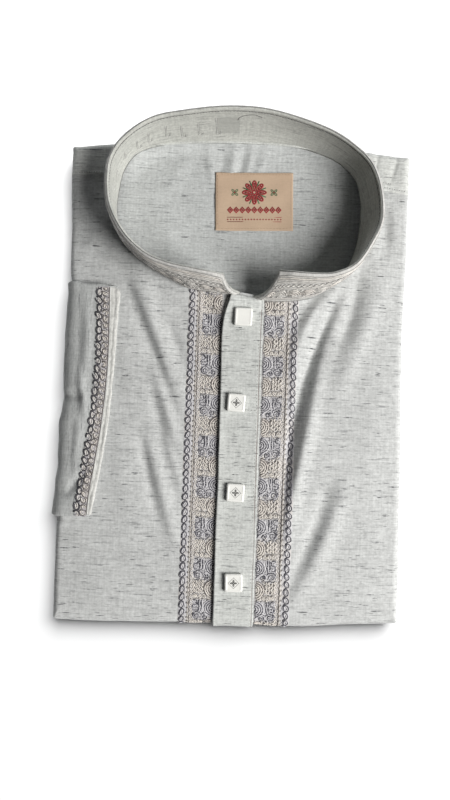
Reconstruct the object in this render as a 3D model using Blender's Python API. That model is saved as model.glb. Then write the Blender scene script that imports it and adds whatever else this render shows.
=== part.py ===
"""A kurta tunic, folded for the shelf: the front lies up with its band collar
open, one sleeve is brought round the left edge, and everything that the fold
hides is one rounded stack of layers.

Units: tables and sizes are in millimetres, objects in metres. +Z is up and +Y
runs from the foot of the fold to the collar. The tables use the cutting frame,
whose zero is on the front a little below the third button; CENTRE moves that
frame so that the object's box is centred over the origin.
"""

import math

import bmesh
import bpy
import numpy as np
from mathutils import Vector
from mathutils.bvhtree import BVHTree

# ------------------------------------------------------------- driving sizes
MM = 0.001
CENTRE = (3.76, 19.0)  # middle of the object's box in the cutting frame
WALL = 1.4  # front and back cloth
GAP = 0.35  # between neighbouring pieces
EDGE_HEIGHT = 18.8  # top of the cloth where the side folds begin
CROWN = 1.9  # how far the middle stands above the edges
FOLD_R = 4.8  # outer radius of the side and shoulder folds
FOOT_R = 9.2  # outer radius of the fold at the foot
FOLD_TURN = 150.0  # degrees that the cloth turns round a side fold
FOOT_TURN = 125.0  # degrees that it turns round the foot
FOLD_STEPS = 4
FAN = 3  # steps round each corner
STACK_SLACK = 1.3  # the hidden layers lie this far under the front's inside

PLACKET = {"left": -3.4, "right": 24.6, "upper": 1.5, "under": 1.0}
PLACKET_TOP = ((-3.4, 67.5), (10.5, 71.4), (24.6, 66.0))
BUTTON = {"side": 12.4, "thick": 3.2, "bevel": 1.0}
COLLAR_PLY = 1.2
LABEL = {"wide": 55.6, "high": 42.0, "thick": 1.0, "x": 16.0, "y": 142.2}
NECK_FLOOR = 12.3  # inside of the back, seen through the collar
FLOOR_UNDER = 5.0  # how far the hollow runs on under the front of the neck

# Plan of the folded body.   y       left    right
SIDES = (
    (-160.0, -114.9, 125.7),
    (-120.0, -115.2, 125.3),
    (-94.0, -115.2, 125.0),
    (-80.0, -113.4, 124.9),
    (-60.0, -112.0, 124.8),
    (-40.0, -110.6, 124.6),
    (0.0, -108.8, 124.0),
    (40.0, -109.4, 123.7),
    (70.0, -109.7, 124.4),
    (86.0, -113.0, 124.7),
    (110.0, -113.7, 125.2),
    (150.0, -115.0, 125.5),
    (177.0, -114.5, 125.4),
)
# Ends of the plan.          x      foot     top
ENDS = (
    (-116.0, -158.7, 176.2),
    (-84.0, -158.7, 179.6),
    (-66.0, -158.4, 181.2),
    (-50.0, -158.3, 183.6),
    (-26.0, -157.8, 186.0),
    (0.0, -156.5, 187.1),
    (21.0, -156.5, 187.0),
    (40.0, -157.6, 185.8),
    (58.0, -158.0, 183.4),
    (76.0, -156.4, 181.0),
    (94.0, -155.3, 179.7),
    (127.0, -153.6, 176.2),
)
COLUMNS = (
    -98.0, -82.0, -66.0, -50.0, -34.0, -18.0, -3.4, 10.5, 24.6,
    38.0, 49.0, 55.0, 61.0, 67.0, 74.0, 82.0, 92.0, 105.0,
)
ROWS = (
    -140.0, -122.0, -104.0, -86.0, -68.0, -50.0, -32.0, -14.0, 4.0, 22.0,
    36.0, 48.0, 58.0, 68.0, 78.0, 88.0, 98.0, 110.0, 124.0, 138.0, 152.0, 163.0,
)
# Soft swells of the whole stack.
# name              x      y     reach x  reach y  height
SWELLS = (
    ("front neck", 4.0, 84.0, 62.0, 30.0, 3.6),
    ("back neck", 4.0, 186.0, 62.0, 16.0, -2.2),
    ("left shoulder", -98.0, 140.0, 26.0, 40.0, 0.5),
    ("right hip", 70.0, -60.0, 50.0, 60.0, 0.6),
)
# Largest folds of the front: each runs through three points.
# name               x0    y0     x1    y1     x2    y2   height  reach
FOLDS = (
    ("right ridge", 78.0, 66.0, 66.0, 12.0, 57.0, -66.0, 2.6, 6.5),
    ("right trough", 73.0, 58.0, 58.0, 15.0, 50.0, -46.0, -1.2, 5.5),
    ("collar ridge", 84.0, 80.0, 66.0, 62.0, 50.0, 34.0, 1.8, 6.0),
    ("outer ridge", 93.0, 96.0, 92.0, 72.0, 86.0, 46.0, 1.2, 7.0),
    ("low ridge", 82.0, -50.0, 73.0, -98.0, 58.0, -132.0, 1.3, 8.0),
    ("left ridge", -66.0, 74.0, -48.0, 26.0, -30.0, -22.0, 1.2, 8.0),
    ("left low ridge", -58.0, 4.0, -50.0, -37.0, -45.0, -82.0, 0.9, 9.0),
)
# Collar band, station by station from its left end round the back.
#      seam x  seam y   edge x  edge y  edge z
BAND = (
    (8.0, 73.8, -3.8, 81.8, 50.0),
    (-8.0, 75.2, -12.0, 82.4, 53.5),
    (-27.0, 77.6, -26.0, 84.6, 54.0),
    (-41.3, 84.0, -40.0, 87.2, 54.0),
    (-55.6, 92.2, -54.8, 92.6, 54.0),
    (-70.1, 105.0, -68.6, 103.8, 53.5),
    (-79.0, 118.0, -78.0, 117.6, 52.5),
    (-82.5, 131.0, -83.0, 131.0, 50.5),
    (-81.5, 146.0, -84.4, 147.0, 48.5),
    (-78.2, 160.5, -82.4, 161.0, 47.0),
    (-69.5, 173.2, -73.5, 174.8, 46.0),
    (-52.7, 180.3, -55.5, 187.3, 46.0),
    (-32.0, 183.2, -33.5, 192.6, 46.0),
    (-8.0, 184.5, -9.0, 196.0, 46.0),
    (17.0, 184.6, 17.5, 195.8, 46.0),
    (41.0, 183.4, 42.5, 190.7, 46.0),
    (61.6, 178.1, 66.0, 182.4, 46.0),
    (77.0, 170.6, 83.0, 171.2, 46.5),
    (88.0, 159.6, 94.0, 158.6, 47.5),
    (92.5, 145.0, 99.6, 141.0, 49.0),
    (92.6, 128.0, 100.2, 122.5, 51.5),
    (90.0, 110.0, 95.0, 108.5, 53.5),
    (82.5, 92.0, 84.5, 91.8, 54.0),
    (70.3, 81.8, 70.5, 84.4, 54.0),
    (56.6, 73.9, 57.5, 83.2, 54.0),
    (38.0, 70.4, 44.0, 83.9, 53.5),
    (19.0, 70.9, 34.6, 85.0, 50.0),
)
# Shoulder seam, where the back comes over to the front.  x      y
SHOULDER_SEAM = (
    (-135.0, 154.0),
    (-105.0, 156.0),
    (-89.0, 155.8),
    (-70.0, 150.0),
    (85.0, 148.0),
    (106.0, 154.1),
    (125.0, 149.0),
    (140.0, 146.0),
)
# Edge profile of the stack: distance out from the start of the fold, and
# height. Along a side it has three lips; along the foot it is one round.
# name          side out  side z  foot out  foot z
LIPS = (
    ("groove a", 0.4, 10.6, 5.7, 5.6),
    ("lip b", 2.4, 9.2, 6.7, 3.9),
    ("lip b", 4.2, 7.2, 6.8, 3.0),
    ("lip b", 3.4, 5.2, 6.4, 2.2),
    ("groove b", 1.3, 4.6, 5.9, 1.6),
    ("lip c", 3.4, 3.7, 5.2, 0.9),
    ("lip c", 3.7, 1.6, 4.4, 0.4),
    ("under", 2.4, 0.0, 3.4, 0.0),
)
# Sleeve: where its two plies end at the cuff.   y, upper, lower
CUFF = (
    (82.0, -83.2, -76.6),
    (50.0, -82.8, -76.7),
    (20.0, -83.2, -77.7),
    (-5.0, -84.9, -79.7),
    (-25.0, -86.6, -81.3),
    (-50.0, -89.2, -84.1),
    (-70.0, -91.6, -87.0),
    (-90.0, -92.9, -90.4),
)
SLEEVE = {"top": 78.0, "foot": -85.0, "ply": 1.1, "hollow": 1.8, "fold": 2.2}
FACING = {"tuck": 4.0, "thick": 0.9}
# Buttons.  name        x     y      turn in degrees
BUTTONS = (
    ("button_1", 10.9, 58.0, -1.0),
    ("button_2", 8.9, -2.2, -3.0),
    ("button_3", 9.4, -64.6, -2.0),
    ("button_4", 10.2, -126.4, 1.5),
)
# name: colour, roughness, metallic
FINISHES = {
    "cloth": ((0.60, 0.62, 0.60), 0.90, 0.0),
    "cloth_under": ((0.52, 0.54, 0.52), 0.92, 0.0),
    "cloth_inside": ((0.56, 0.58, 0.55), 0.92, 0.0),
    "embroidered": ((0.50, 0.48, 0.52), 0.80, 0.0),
    "facing": ((0.74, 0.74, 0.71), 0.88, 0.0),
    "satin": ((0.62, 0.50, 0.38), 0.55, 0.0),
    "button": ((0.86, 0.86, 0.84), 0.30, 0.0),
}


# ------------------------------------------------------------------ helpers
def read(table, column, t):
    """Smooth value of a table's column at t, the table's first column."""
    keys = [row[0] for row in table]
    values = [row[column] for row in table]
    if t <= keys[0]:
        return values[0]
    if t >= keys[-1]:
        return values[-1]
    i = max(k for k in range(len(keys) - 1) if keys[k] <= t)

    def slope(k):
        a, b = max(k - 1, 0), min(k + 1, len(keys) - 1)
        return (values[b] - values[a]) / (keys[b] - keys[a])

    span = keys[i + 1] - keys[i]
    f = (t - keys[i]) / span
    return (
        values[i] * (2 * f**3 - 3 * f**2 + 1)
        + slope(i) * span * (f**3 - 2 * f**2 + f)
        + values[i + 1] * (3 * f**2 - 2 * f**3)
        + slope(i + 1) * span * (f**3 - f**2)
    )


def soft(f):
    f = min(max(f, 0.0), 1.0)
    return f * f * (3 - 2 * f)


def stack_top(x, y):
    """Height of the outer cloth without its folds."""
    across = abs((x - 5.2) / 118.0)
    along = abs((y - 10.0) / 165.0)
    z = EDGE_HEIGHT + CROWN * (1 - min(across, 1) ** 3) * (1 - min(along, 1) ** 3)
    for _, cx, cy, rx, ry, height in SWELLS:
        z += height * math.exp(-(((x - cx) / rx) ** 2) - ((y - cy) / ry) ** 2)
    return z


def fold_height(x, y):
    """What the large folds add at a point of the front."""
    total = 0.0
    for _, x0, y0, x1, y1, x2, y2, height, reach in FOLDS:
        best, where = 1e9, 0.0
        for k in range(25):
            t = k / 24
            px = x0 * (1 - t) ** 2 + 2 * x1 * t * (1 - t) + x2 * t**2
            py = y0 * (1 - t) ** 2 + 2 * y1 * t * (1 - t) + y2 * t**2
            d = (x - px) ** 2 + (y - py) ** 2
            if d < best:
                best, where = d, t
        total += height * math.exp(-best / reach**2) * math.sin(math.pi * (0.08 + 0.84 * where))
    return total


def surface(x, y):
    return stack_top(x, y) + fold_height(x, y)


def add(name, verts, faces, finish, smooth=35.0):
    """A closed mesh object from points in the cutting frame, in millimetres."""
    mesh = bpy.data.meshes.new(name)
    bm = bmesh.new()
    made = [
        bm.verts.new(((x - CENTRE[0]) * MM, (y - CENTRE[1]) * MM, z * MM))
        for x, y, z in verts
    ]
    for face in faces:
        ring = [made[i] for i in dict.fromkeys(face)]
        if len(ring) > 2:
            bm.faces.new(ring)
    bmesh.ops.remove_doubles(bm, verts=bm.verts, dist=0.00001)
    bmesh.ops.recalc_face_normals(bm, faces=bm.faces)
    bm.to_mesh(mesh)
    bm.free()
    obj = bpy.data.objects.new(name, mesh)
    bpy.context.scene.collection.objects.link(obj)
    mesh.materials.append(material(finish))
    if smooth:
        mesh.shade_smooth()
        mesh.set_sharp_from_angle(angle=math.radians(smooth))
    return obj


def material(finish):
    if finish in bpy.data.materials:
        return bpy.data.materials[finish]
    colour, roughness, metallic = FINISHES[finish]
    made = bpy.data.materials.new(finish)
    made.use_nodes = True
    shader = made.node_tree.nodes["Principled BSDF"]
    shader.inputs["Base Color"].default_value = (*colour, 1)
    shader.inputs["Roughness"].default_value = roughness
    shader.inputs["Metallic"].default_value = metallic
    return made


def boolean(obj, operation, cutter):
    """Apply a Boolean and drop the cutter."""
    modifier = obj.modifiers.new(operation.lower(), "BOOLEAN")
    modifier.operation = operation
    modifier.solver = "EXACT"
    modifier.object = cutter
    bpy.context.view_layer.update()
    graph = bpy.context.evaluated_depsgraph_get()
    mesh = bpy.data.meshes.new_from_object(obj.evaluated_get(graph), depsgraph=graph)
    obj.modifiers.clear()
    obj.data = mesh
    bpy.data.objects.remove(cutter)


def prism(name, outline, low, high):
    """A straight cutter over a plan outline."""
    n = len(outline)
    verts = [(x, y, low) for x, y in outline] + [(x, y, high) for x, y in outline]
    faces = [tuple(range(n))[::-1], tuple(range(n, 2 * n))]
    faces += [(k, (k + 1) % n, n + (k + 1) % n, n + k) for k in range(n)]
    return add(name, verts, faces, "cloth", smooth=None)


# ------------------------------------------------------- the outer cloth net
def body_grid():
    """Plan points where the cloth lies on top, one row per height of the net."""
    grid = []
    rows = ["foot", *ROWS, "top"]
    columns = ["left", *COLUMNS, "right"]
    for row in rows:
        line = []
        for column in columns:
            x = column if isinstance(column, float) else 0.0
            y = row if isinstance(row, float) else 0.0
            for _ in range(4):
                if column == "left":
                    x = read(SIDES, 1, y) + FOLD_R
                if column == "right":
                    x = read(SIDES, 2, y) - FOLD_R
                if row == "foot":
                    y = read(ENDS, 1, x) + FOOT_R
                if row == "top":
                    y = read(ENDS, 2, x) - FOLD_R
            line.append((x, y))
        grid.append(line)
    return grid


GRID = body_grid()
LAST_ROW, LAST_COLUMN = len(GRID) - 1, len(GRID[0]) - 1


def rim_stations():
    """Stations round the net's edge: (row, column, way out, share of foot)."""
    edge = (
        [(0, c) for c in range(LAST_COLUMN)]
        + [(r, LAST_COLUMN) for r in range(LAST_ROW)]
        + [(LAST_ROW, c) for c in range(LAST_COLUMN, 0, -1)]
        + [(r, 0) for r in range(LAST_ROW, 0, -1)]
    )
    corners = {(0, 0), (0, LAST_COLUMN), (LAST_ROW, LAST_COLUMN), (LAST_ROW, 0)}
    stations = []
    for k, (r, c) in enumerate(edge):
        here = Vector(GRID[r][c])
        before = Vector(GRID[edge[k - 1][0]][edge[k - 1][1]])
        after_rc = edge[(k + 1) % len(edge)]
        after = Vector(GRID[after_rc[0]][after_rc[1]])

        def way(a, b):
            d = (b - a).normalized()
            return math.atan2(-d.x, d.y)

        if (r, c) not in corners:
            foot = 1.0 if r == 0 else 0.0
            stations.append((r, c, way(before, after), foot))
            continue
        first, last = way(before, here), way(here, after)
        while last < first:
            last += 2 * math.pi
        # Which of the two sides that meet here is the foot.
        ends = (float(before.y < -140 and here.y < -140), float(after.y < -140 and here.y < -140))
        for step in range(FAN + 1):
            f = step / FAN
            stations.append((r, c, first + (last - first) * f, ends[0] + (ends[1] - ends[0]) * soft(f)))
    return stations


RIM = rim_stations()


def rim_point(station, turn, offset):
    """A point of the cloth as it turns down round the edge."""
    r, c, way, foot = station
    x, y = GRID[r][c]
    radius = FOLD_R + (FOOT_R - FOLD_R) * foot
    angle = math.radians(turn)
    out = (radius + offset) * math.sin(angle)
    z = surface(x, y) - radius + (radius + offset) * math.cos(angle)
    return (x + out * math.cos(way), y + out * math.sin(way), z)


def top_point(r, c, offset):
    """A point of the net moved out along the cloth's own normal."""
    x, y = GRID[r][c]
    sx = (surface(x + 0.5, y) - surface(x - 0.5, y))
    sy = (surface(x, y + 0.5) - surface(x, y - 0.5))
    if r in (0, LAST_ROW) or c in (0, LAST_COLUMN):
        sx = sy = 0.0
    n = math.sqrt(1 + sx * sx + sy * sy)
    return (x - offset * sx / n, y - offset * sy / n, surface(x, y) + offset / n)


def body_sheet(name, finish, inner, outer):
    """The outer cloth as one wall over the top and round all four edges."""
    verts, index = [], {}
    for side, offset in enumerate((inner, outer)):
        for r in range(LAST_ROW + 1):
            for c in range(LAST_COLUMN + 1):
                index[side, r, c] = len(verts)
                verts.append(top_point(r, c, offset))
        for k, station in enumerate(RIM):
            turn = FOLD_TURN + (FOOT_TURN - FOLD_TURN) * station[3]
            index[side, "rim", k, 0] = index[side, station[0], station[1]]
            for step in range(1, FOLD_STEPS + 1):
                index[side, "rim", k, step] = len(verts)
                verts.append(rim_point(station, turn * step / FOLD_STEPS, offset))
    faces = []
    for side in (0, 1):
        for r in range(LAST_ROW):
            for c in range(LAST_COLUMN):
                faces.append([index[side, r + i, c + j] for i, j in ((0, 0), (0, 1), (1, 1), (1, 0))])
        for k in range(len(RIM)):
            after = (k + 1) % len(RIM)
            for step in range(FOLD_STEPS):
                faces.append([
                    index[side, "rim", k, step], index[side, "rim", k, step + 1],
                    index[side, "rim", after, step + 1], index[side, "rim", after, step],
                ])
    for k in range(len(RIM)):
        after = (k + 1) % len(RIM)
        faces.append([
            index[0, "rim", k, FOLD_STEPS], index[1, "rim", k, FOLD_STEPS],
            index[1, "rim", after, FOLD_STEPS], index[0, "rim", after, FOLD_STEPS],
        ])
    return add(name, verts, faces, finish)


# ------------------------------------------------------------- neck outlines
def band_station(t):
    """(seam, edge) of the collar at t from 0 to 1, smooth through the table."""
    keyed = [(k / (len(BAND) - 1), *row) for k, row in enumerate(BAND)]
    sx, sy, ex, ey, ez = (read(keyed, k, t) for k in range(1, 6))
    return (sx, sy), (ex, ey, ez)


def neck_outline(shift, points=36, front_shift=0.0):
    """The seam line closed across the front, moved out by shift."""
    line = [band_station(k / (points - 1))[0] for k in range(points)]
    n = len(line)
    outline = []
    for k in range(n):
        a, b = Vector(line[k - 1]), Vector(line[(k + 1) % n])
        d = (b - a).normalized()
        more = front_shift * soft((125 - line[k][1]) / 30)
        outline.append((line[k][0] - d.y * (shift + more), line[k][1] + d.x * (shift + more)))
    return outline


def shoulder_region(shift):
    """Plan of what lies beyond the shoulder seams."""
    return [(x, y + shift) for x, y in SHOULDER_SEAM] + [(140, 215), (-135, 215)]


def neck_bowl(name, sink, thick, shift, finish):
    """The hollow's floor: flat in front, curling up to the seam behind."""
    outline = neck_outline(shift, 36, FLOOR_UNDER)
    middle = Vector((4.0, 128.0))
    shares = (1.0, 0.94, 0.86, 0.5)
    verts, faces = [], []
    n = len(outline)
    for side, lift in ((0, -sink), (1, thick)):
        for share in shares:
            for x, y in outline:
                behind = soft((y - 150) / 25)
                px = middle.x + (x - middle.x) * share
                py = middle.y + (y - middle.y) * share
                curl = soft((share - 0.86) / 0.14) * behind
                rise = curl * (surface(x, y) - 1.5 - NECK_FLOOR)
                verts.append((px, py, NECK_FLOOR - WALL + rise + lift))
        verts.append((middle.x, middle.y, NECK_FLOOR - WALL + lift))
    size = n * len(shares) + 1
    for side in (0, 1):
        base = side * size
        for ring in range(len(shares) - 1):
            for k in range(n):
                a, b = base + ring * n + k, base + ring * n + (k + 1) % n
                faces.append((a, b, b + n, a + n))
        for k in range(n):
            a = base + (len(shares) - 1) * n
            faces.append((a + k, a + (k + 1) % n, base + size - 1))
    for k in range(n):
        faces.append((k, (k + 1) % n, size + (k + 1) % n, size + k))
    return add(name, verts, faces, finish)


# ------------------------------------------------------------------- pieces
def make_stack():
    """Everything hidden by the fold, layered at its edges, flat underneath."""
    verts, faces = [], []
    arc = FOLD_STEPS - 1
    inset = -(WALL + GAP)
    rings = []
    for share in (0.0, 0.45, 0.82):
        ring = []
        for r, c, _, _ in RIM:
            x, y = GRID[r][c]
            px, py = 5.0 + (x - 5.0) * share, 8.0 + (y - 8.0) * share
            ring.append(len(verts))
            verts.append((px, py, stack_top(px, py) + inset - STACK_SLACK))
            if share == 0.0:
                break
        rings.append(ring)
    for step in range(arc + 1):
        ring = []
        for station in RIM:
            foot = station[3]
            turn = (FOLD_TURN + (FOOT_TURN - FOLD_TURN) * foot) * step / FOLD_STEPS
            corner = 0.45 * soft(4 * min(foot, 1 - foot)) * min(step, 1)
            ring.append(len(verts))
            verts.append(rim_point(station, turn, inset - corner))
        rings.append(ring)
    for _, side_out, side_z, foot_out, foot_z in LIPS:
        ring = []
        for station in RIM:
            r, c, way, foot = station
            x, y = GRID[r][c]
            lower = surface(x, y) - EDGE_HEIGHT
            lip_z = side_z + lower if side_z > 10 else side_z * (1 + lower / 9.2)
            out = side_out + (foot_out - side_out) * foot - 0.3 * soft(4 * min(foot, 1 - foot))
            z = lip_z + (foot_z - lip_z) * foot
            ring.append(len(verts))
            verts.append((x + out * math.cos(way), y + out * math.sin(way), z))
        rings.append(ring)
    n = len(RIM)
    for k in range(n):
        faces.append((rings[0][0], rings[1][k], rings[1][(k + 1) % n]))
    for a, b in zip(rings[1:], rings[2:]):
        for k in range(n):
            faces.append((a[k], b[k], b[(k + 1) % n], a[(k + 1) % n]))
    faces.append(tuple(rings[-1]))
    stack = add("folded_layers", verts, faces, "cloth_under")
    boolean(stack, "DIFFERENCE", neck_bowl("hollow", GAP, 30.0, 0.4, "cloth_under"))
    return stack


def make_front():
    front = body_sheet("front_panel", "cloth", -WALL, 0.0)
    boolean(front, "DIFFERENCE", prism("beyond", shoulder_region(-0.15), -5, 40))
    boolean(front, "DIFFERENCE", prism("neck", neck_outline(-2.2), -5, 40))
    return front


def make_back():
    back = body_sheet("back_panel", "cloth_inside", -WALL, 0.0)
    boolean(back, "INTERSECT", prism("beyond", shoulder_region(0.15), -5, 40))
    boolean(back, "DIFFERENCE", prism("neck", neck_outline(-2.2), -5, 40))
    return back


def bvh_of(*objects):
    """One search tree over the meshes of some objects, in millimetres."""
    verts, faces = [], []
    for obj in objects:
        base = len(verts)
        verts += [v.co / MM for v in obj.data.vertices]
        faces += [[base + i for i in p.vertices] for p in obj.data.polygons]
    return BVHTree.FromPolygons(verts, faces)


def on_top(tree, x, y, start=60.0):
    """Height of what lies under a plan point of the cutting frame."""
    hit = tree.ray_cast(Vector((x - CENTRE[0], y - CENTRE[1], start)), Vector((0, 0, -1)))
    return hit[0].z if hit[0] else None


def make_band(name, finish, near, far, tree):
    """One ply of the stand collar, from near to far outside its middle."""
    count, levels = 44, 3
    verts, faces, index = [], [], {}
    for k in range(count + 1):
        t = k / count
        seam, edge = band_station(t)
        a, b = band_station(max(t - 0.01, 0))[0], band_station(min(t + 0.01, 1))[0]
        d = Vector((b[0] - a[0], b[1] - a[1])).normalized()
        out = Vector((-d.y, d.x))
        low = max(
            z for z in (on_top(tree, seam[0] + out.x * o, seam[1] + out.y * o) for o in (-2.0, -1.3, 0, 1.5))
            if z is not None
        )
        for level in range(levels + 1):
            f = level / levels
            swell = 1.1 * 4 * f * (1 - f)
            for side, o in ((0, near), (1, far)):
                index[k, level, side] = len(verts)
                verts.append((
                    seam[0] + (edge[0] - seam[0]) * f + out.x * (o + swell),
                    seam[1] + (edge[1] - seam[1]) * f + out.y * (o + swell),
                    low + GAP + (edge[2] - low - GAP) * f,
                ))
    for k in range(count):
        for level in range(levels):
            for side in (0, 1):
                faces.append([index[k + i, level + j, side] for i, j in ((0, 0), (1, 0), (1, 1), (0, 1))])
        for level in (0, levels):
            faces.append([index[k, level, 0], index[k, level, 1], index[k + 1, level, 1], index[k + 1, level, 0]])
    for k in (0, count):
        for level in range(levels):
            faces.append([index[k, level, 0], index[k, level, 1], index[k, level + 1, 1], index[k, level + 1, 0]])
    return add(name, verts, faces, finish)


def make_placket(name, finish, near, far, narrow):
    """A strip down the front, on the net's own rows and columns."""
    columns = [c + 1 for c, x in enumerate(COLUMNS) if PLACKET["left"] <= x <= PLACKET["right"]]
    rows = [r + 1 for r, y in enumerate(ROWS) if y <= 58.0]
    path = []
    for c in columns:
        station = next(s for s in RIM if s[0] == 0 and s[1] == c)
        line = [("rim", station, FOOT_TURN * k / FOLD_STEPS) for k in range(FOLD_STEPS - 1, 0, -1)]
        line += [("top", r, c) for r in [0, *rows]]
        path.append(line)
    verts, faces, index = [], [], {}
    last = len(path[0])
    for i, line in enumerate(path):
        inward = (narrow, 0.0, -narrow)[i]
        for j in range(last + 1):
            for side, offset in ((0, near), (1, far)):
                if j == last:
                    x, y = PLACKET_TOP[i]
                    y -= narrow * 2
                    point = (x, y, surface(x, y) + offset + 0.1)
                elif line[j][0] == "rim":
                    point = rim_point(line[j][1], line[j][2], offset)
                else:
                    point = top_point(line[j][1], line[j][2], offset)
                index[i, j, side] = len(verts)
                verts.append((point[0] + inward, point[1], point[2]))
    for i in range(2):
        for j in range(last):
            for side in (0, 1):
                faces.append([index[i + a, j + b, side] for a, b in ((0, 0), (1, 0), (1, 1), (0, 1))])
        for j in (0, last):
            faces.append([index[i, j, 0], index[i, j, 1], index[i + 1, j, 1], index[i + 1, j, 0]])
    for i in (0, 2):
        for j in range(last):
            faces.append([index[i, j, 0], index[i, j, 1], index[i, j + 1, 1], index[i, j + 1, 0]])
    return add(name, verts, faces, finish)


def sleeve_point(y, s, offset):
    """A point of the sleeve past the side fold: s runs from 1, where the fold
    starts, to 2, where the cloth under it has turned all the way down."""
    edge_x = read(SIDES, 1, y) + FOLD_R
    angle = math.radians(FOLD_TURN * (s - 1))
    z = surface(edge_x, y) - FOLD_R + (FOLD_R + offset) * math.cos(angle)
    return (edge_x - (FOLD_R + offset) * math.sin(angle), y, z)


def make_sleeve(tree):
    """A flattened tube: the upper ply, the fold, the lower ply, the seam."""
    ply, hollow, fold = SLEEVE["ply"], SLEEVE["hollow"], SLEEVE["fold"]
    low = GAP + 0.1
    ys = [SLEEVE["foot"], *[y for y in ROWS if SLEEVE["foot"] + 6 < y < SLEEVE["top"] - 6], SLEEVE["top"]]
    outer_high, outer_low = low + 2 * ply + hollow, low
    inner_high, inner_low = outer_high - ply, outer_low + ply
    middle = (outer_high + outer_low) / 2
    outer = [(y, outer_high, 1.0) for y in ys] + [(ys[-1] + fold, middle, 0.5)]
    outer += [(y, outer_low, 0.0) for y in ys[::-1]] + [(ys[0] - fold, middle, 0.5)]
    inner = [(y, inner_high, 1.0) for y in ys] + [(ys[-1] + fold - ply, middle, 0.5)]
    inner += [(y, inner_low, 0.0) for y in ys[::-1]] + [(ys[0] - fold + ply, middle, 0.5)]
    across = (0.0, 0.34, 0.67, 1.0)
    rings = []
    verts, faces = [], []
    for s in [*across, *[1 + k / FOLD_STEPS for k in range(1, FOLD_STEPS)]]:
        for loop in (outer, inner):
            ring = []
            for y, offset, upper in loop:
                if s <= 1:
                    edge_x = read(SIDES, 1, y) + FOLD_R
                    start = read(CUFF[::-1], 2, y) + (read(CUFF[::-1], 1, y) - read(CUFF[::-1], 2, y)) * upper
                    x = start + (edge_x - start) * s
                    z = surface(edge_x, y) if s == 1 else on_top(tree, x, y)
                    point = (x, y, z + offset)
                else:
                    point = sleeve_point(y, s, offset)
                ring.append(len(verts))
                verts.append(point)
            rings.append(ring)
    n = len(outer)
    for side in (0, 1):
        for a, b in zip(rings[side::2], rings[side + 2 :: 2]):
            for k in range(n):
                faces.append((a[k], b[k], b[(k + 1) % n], a[(k + 1) % n]))
    for a, b in ((rings[0], rings[1]), (rings[-2], rings[-1])):
        for k in range(n):
            faces.append((a[k], b[k], b[(k + 1) % n], a[(k + 1) % n]))
    return add("sleeve", verts, faces, "cloth")


def make_facing(tree):
    """The turned facing that shows past the cuff's upper ply."""
    near = GAP + 0.1 + SLEEVE["ply"] + GAP
    ys = [SLEEVE["foot"] + 1.0, *[y for y in ROWS if SLEEVE["foot"] + 6 < y < SLEEVE["top"] - 6], SLEEVE["top"] - 1.0]
    verts, faces = [], []
    for y in ys:
        lower, upper = read(CUFF[::-1], 2, y), read(CUFF[::-1], 1, y)
        for x in (lower - 0.2, upper - FACING["tuck"]):
            for offset in (near, near + FACING["thick"]):
                verts.append((x, y, on_top(tree, x, y) + offset))
    for k in range(len(ys) - 1):
        a = 4 * k
        for i, j in ((0, 1), (1, 3), (3, 2), (2, 0)):
            faces.append((a + i, a + j, a + 4 + j, a + 4 + i))
    faces.append((0, 1, 3, 2))
    faces.append(tuple(4 * (len(ys) - 1) + i for i in (0, 1, 3, 2)))
    return add("cuff_facing", verts, faces, "facing")


def make_label(tree):
    """The woven neck label, flat on the inside of the back."""
    verts, faces = [], []
    steps = 4
    for offset in (GAP, GAP + LABEL["thick"]):
        for j in range(3):
            for i in range(steps + 1):
                x = LABEL["x"] + LABEL["wide"] * (i / steps - 0.5)
                y = LABEL["y"] + LABEL["high"] * (j / 2 - 0.5) + 0.028 * (x - LABEL["x"])
                x += -0.028 * LABEL["high"] * (j / 2 - 0.5)
                verts.append((x, y, on_top(tree, x, y, 30) + offset))
    row, size = steps + 1, 3 * (steps + 1)
    for side in (0, size):
        for j in range(2):
            for i in range(steps):
                a = side + j * row + i
                faces.append((a, a + 1, a + row + 1, a + row))
    edge = [*range(row), *[j * row + steps for j in (1, 2)], *range(3 * row - 2, 2 * row - 1, -1), row]
    for k in range(len(edge)):
        a, b = edge[k], edge[(k + 1) % len(edge)]
        faces.append((a, b, b + size, a + size))
    return add("neck_label", verts, faces, "satin")


def make_button(name, x, y, turn, tree):
    """A square button with a bevelled rim, seated on the placket."""
    half, thick, bevel = BUTTON["side"] / 2, BUTTON["thick"], BUTTON["bevel"]
    reach = half - 0.5
    spots = [(i * reach, j * reach) for i in (-1, 0, 1) for j in (-1, 0, 1)]
    heights = [on_top(tree, x + i, y + j) for i, j in spots]
    sx = sum(i * h for (i, _), h in zip(spots, heights)) / sum(i * i for i, _ in spots)
    sy = sum(j * h for (_, j), h in zip(spots, heights)) / sum(j * j for _, j in spots)
    base = max(h - sx * i - sy * j for (i, j), h in zip(spots, heights)) + GAP
    levels = ((half - 0.5, 0.0), (half, 0.5), (half, thick - bevel), (half - bevel, thick))
    corner = 1.1
    verts, faces, rings = [], [], []
    for size, z in levels:
        ring = []
        c = corner if size == half else corner * 0.7
        for a, b in ((1, -1), (1, 1), (-1, 1), (-1, -1)):
            pair = [(a * size, b * (size - c)), (a * (size - c), b * size)]
            if a * b < 0:
                pair = pair[::-1]
            for px, py in pair:
                angle = math.radians(turn)
                qx = px * math.cos(angle) - py * math.sin(angle)
                qy = px * math.sin(angle) + py * math.cos(angle)
                ring.append(len(verts))
                verts.append((x + qx - sx * z, y + qy - sy * z, base + z + sx * qx + sy * qy))
        rings.append(ring)
    for a, b in zip(rings, rings[1:]):
        for k in range(8):
            faces.append((a[k], a[(k + 1) % 8], b[(k + 1) % 8], b[k]))
    faces += [tuple(rings[0]), tuple(rings[-1])]
    return add(name, verts, faces, "button")


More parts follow.
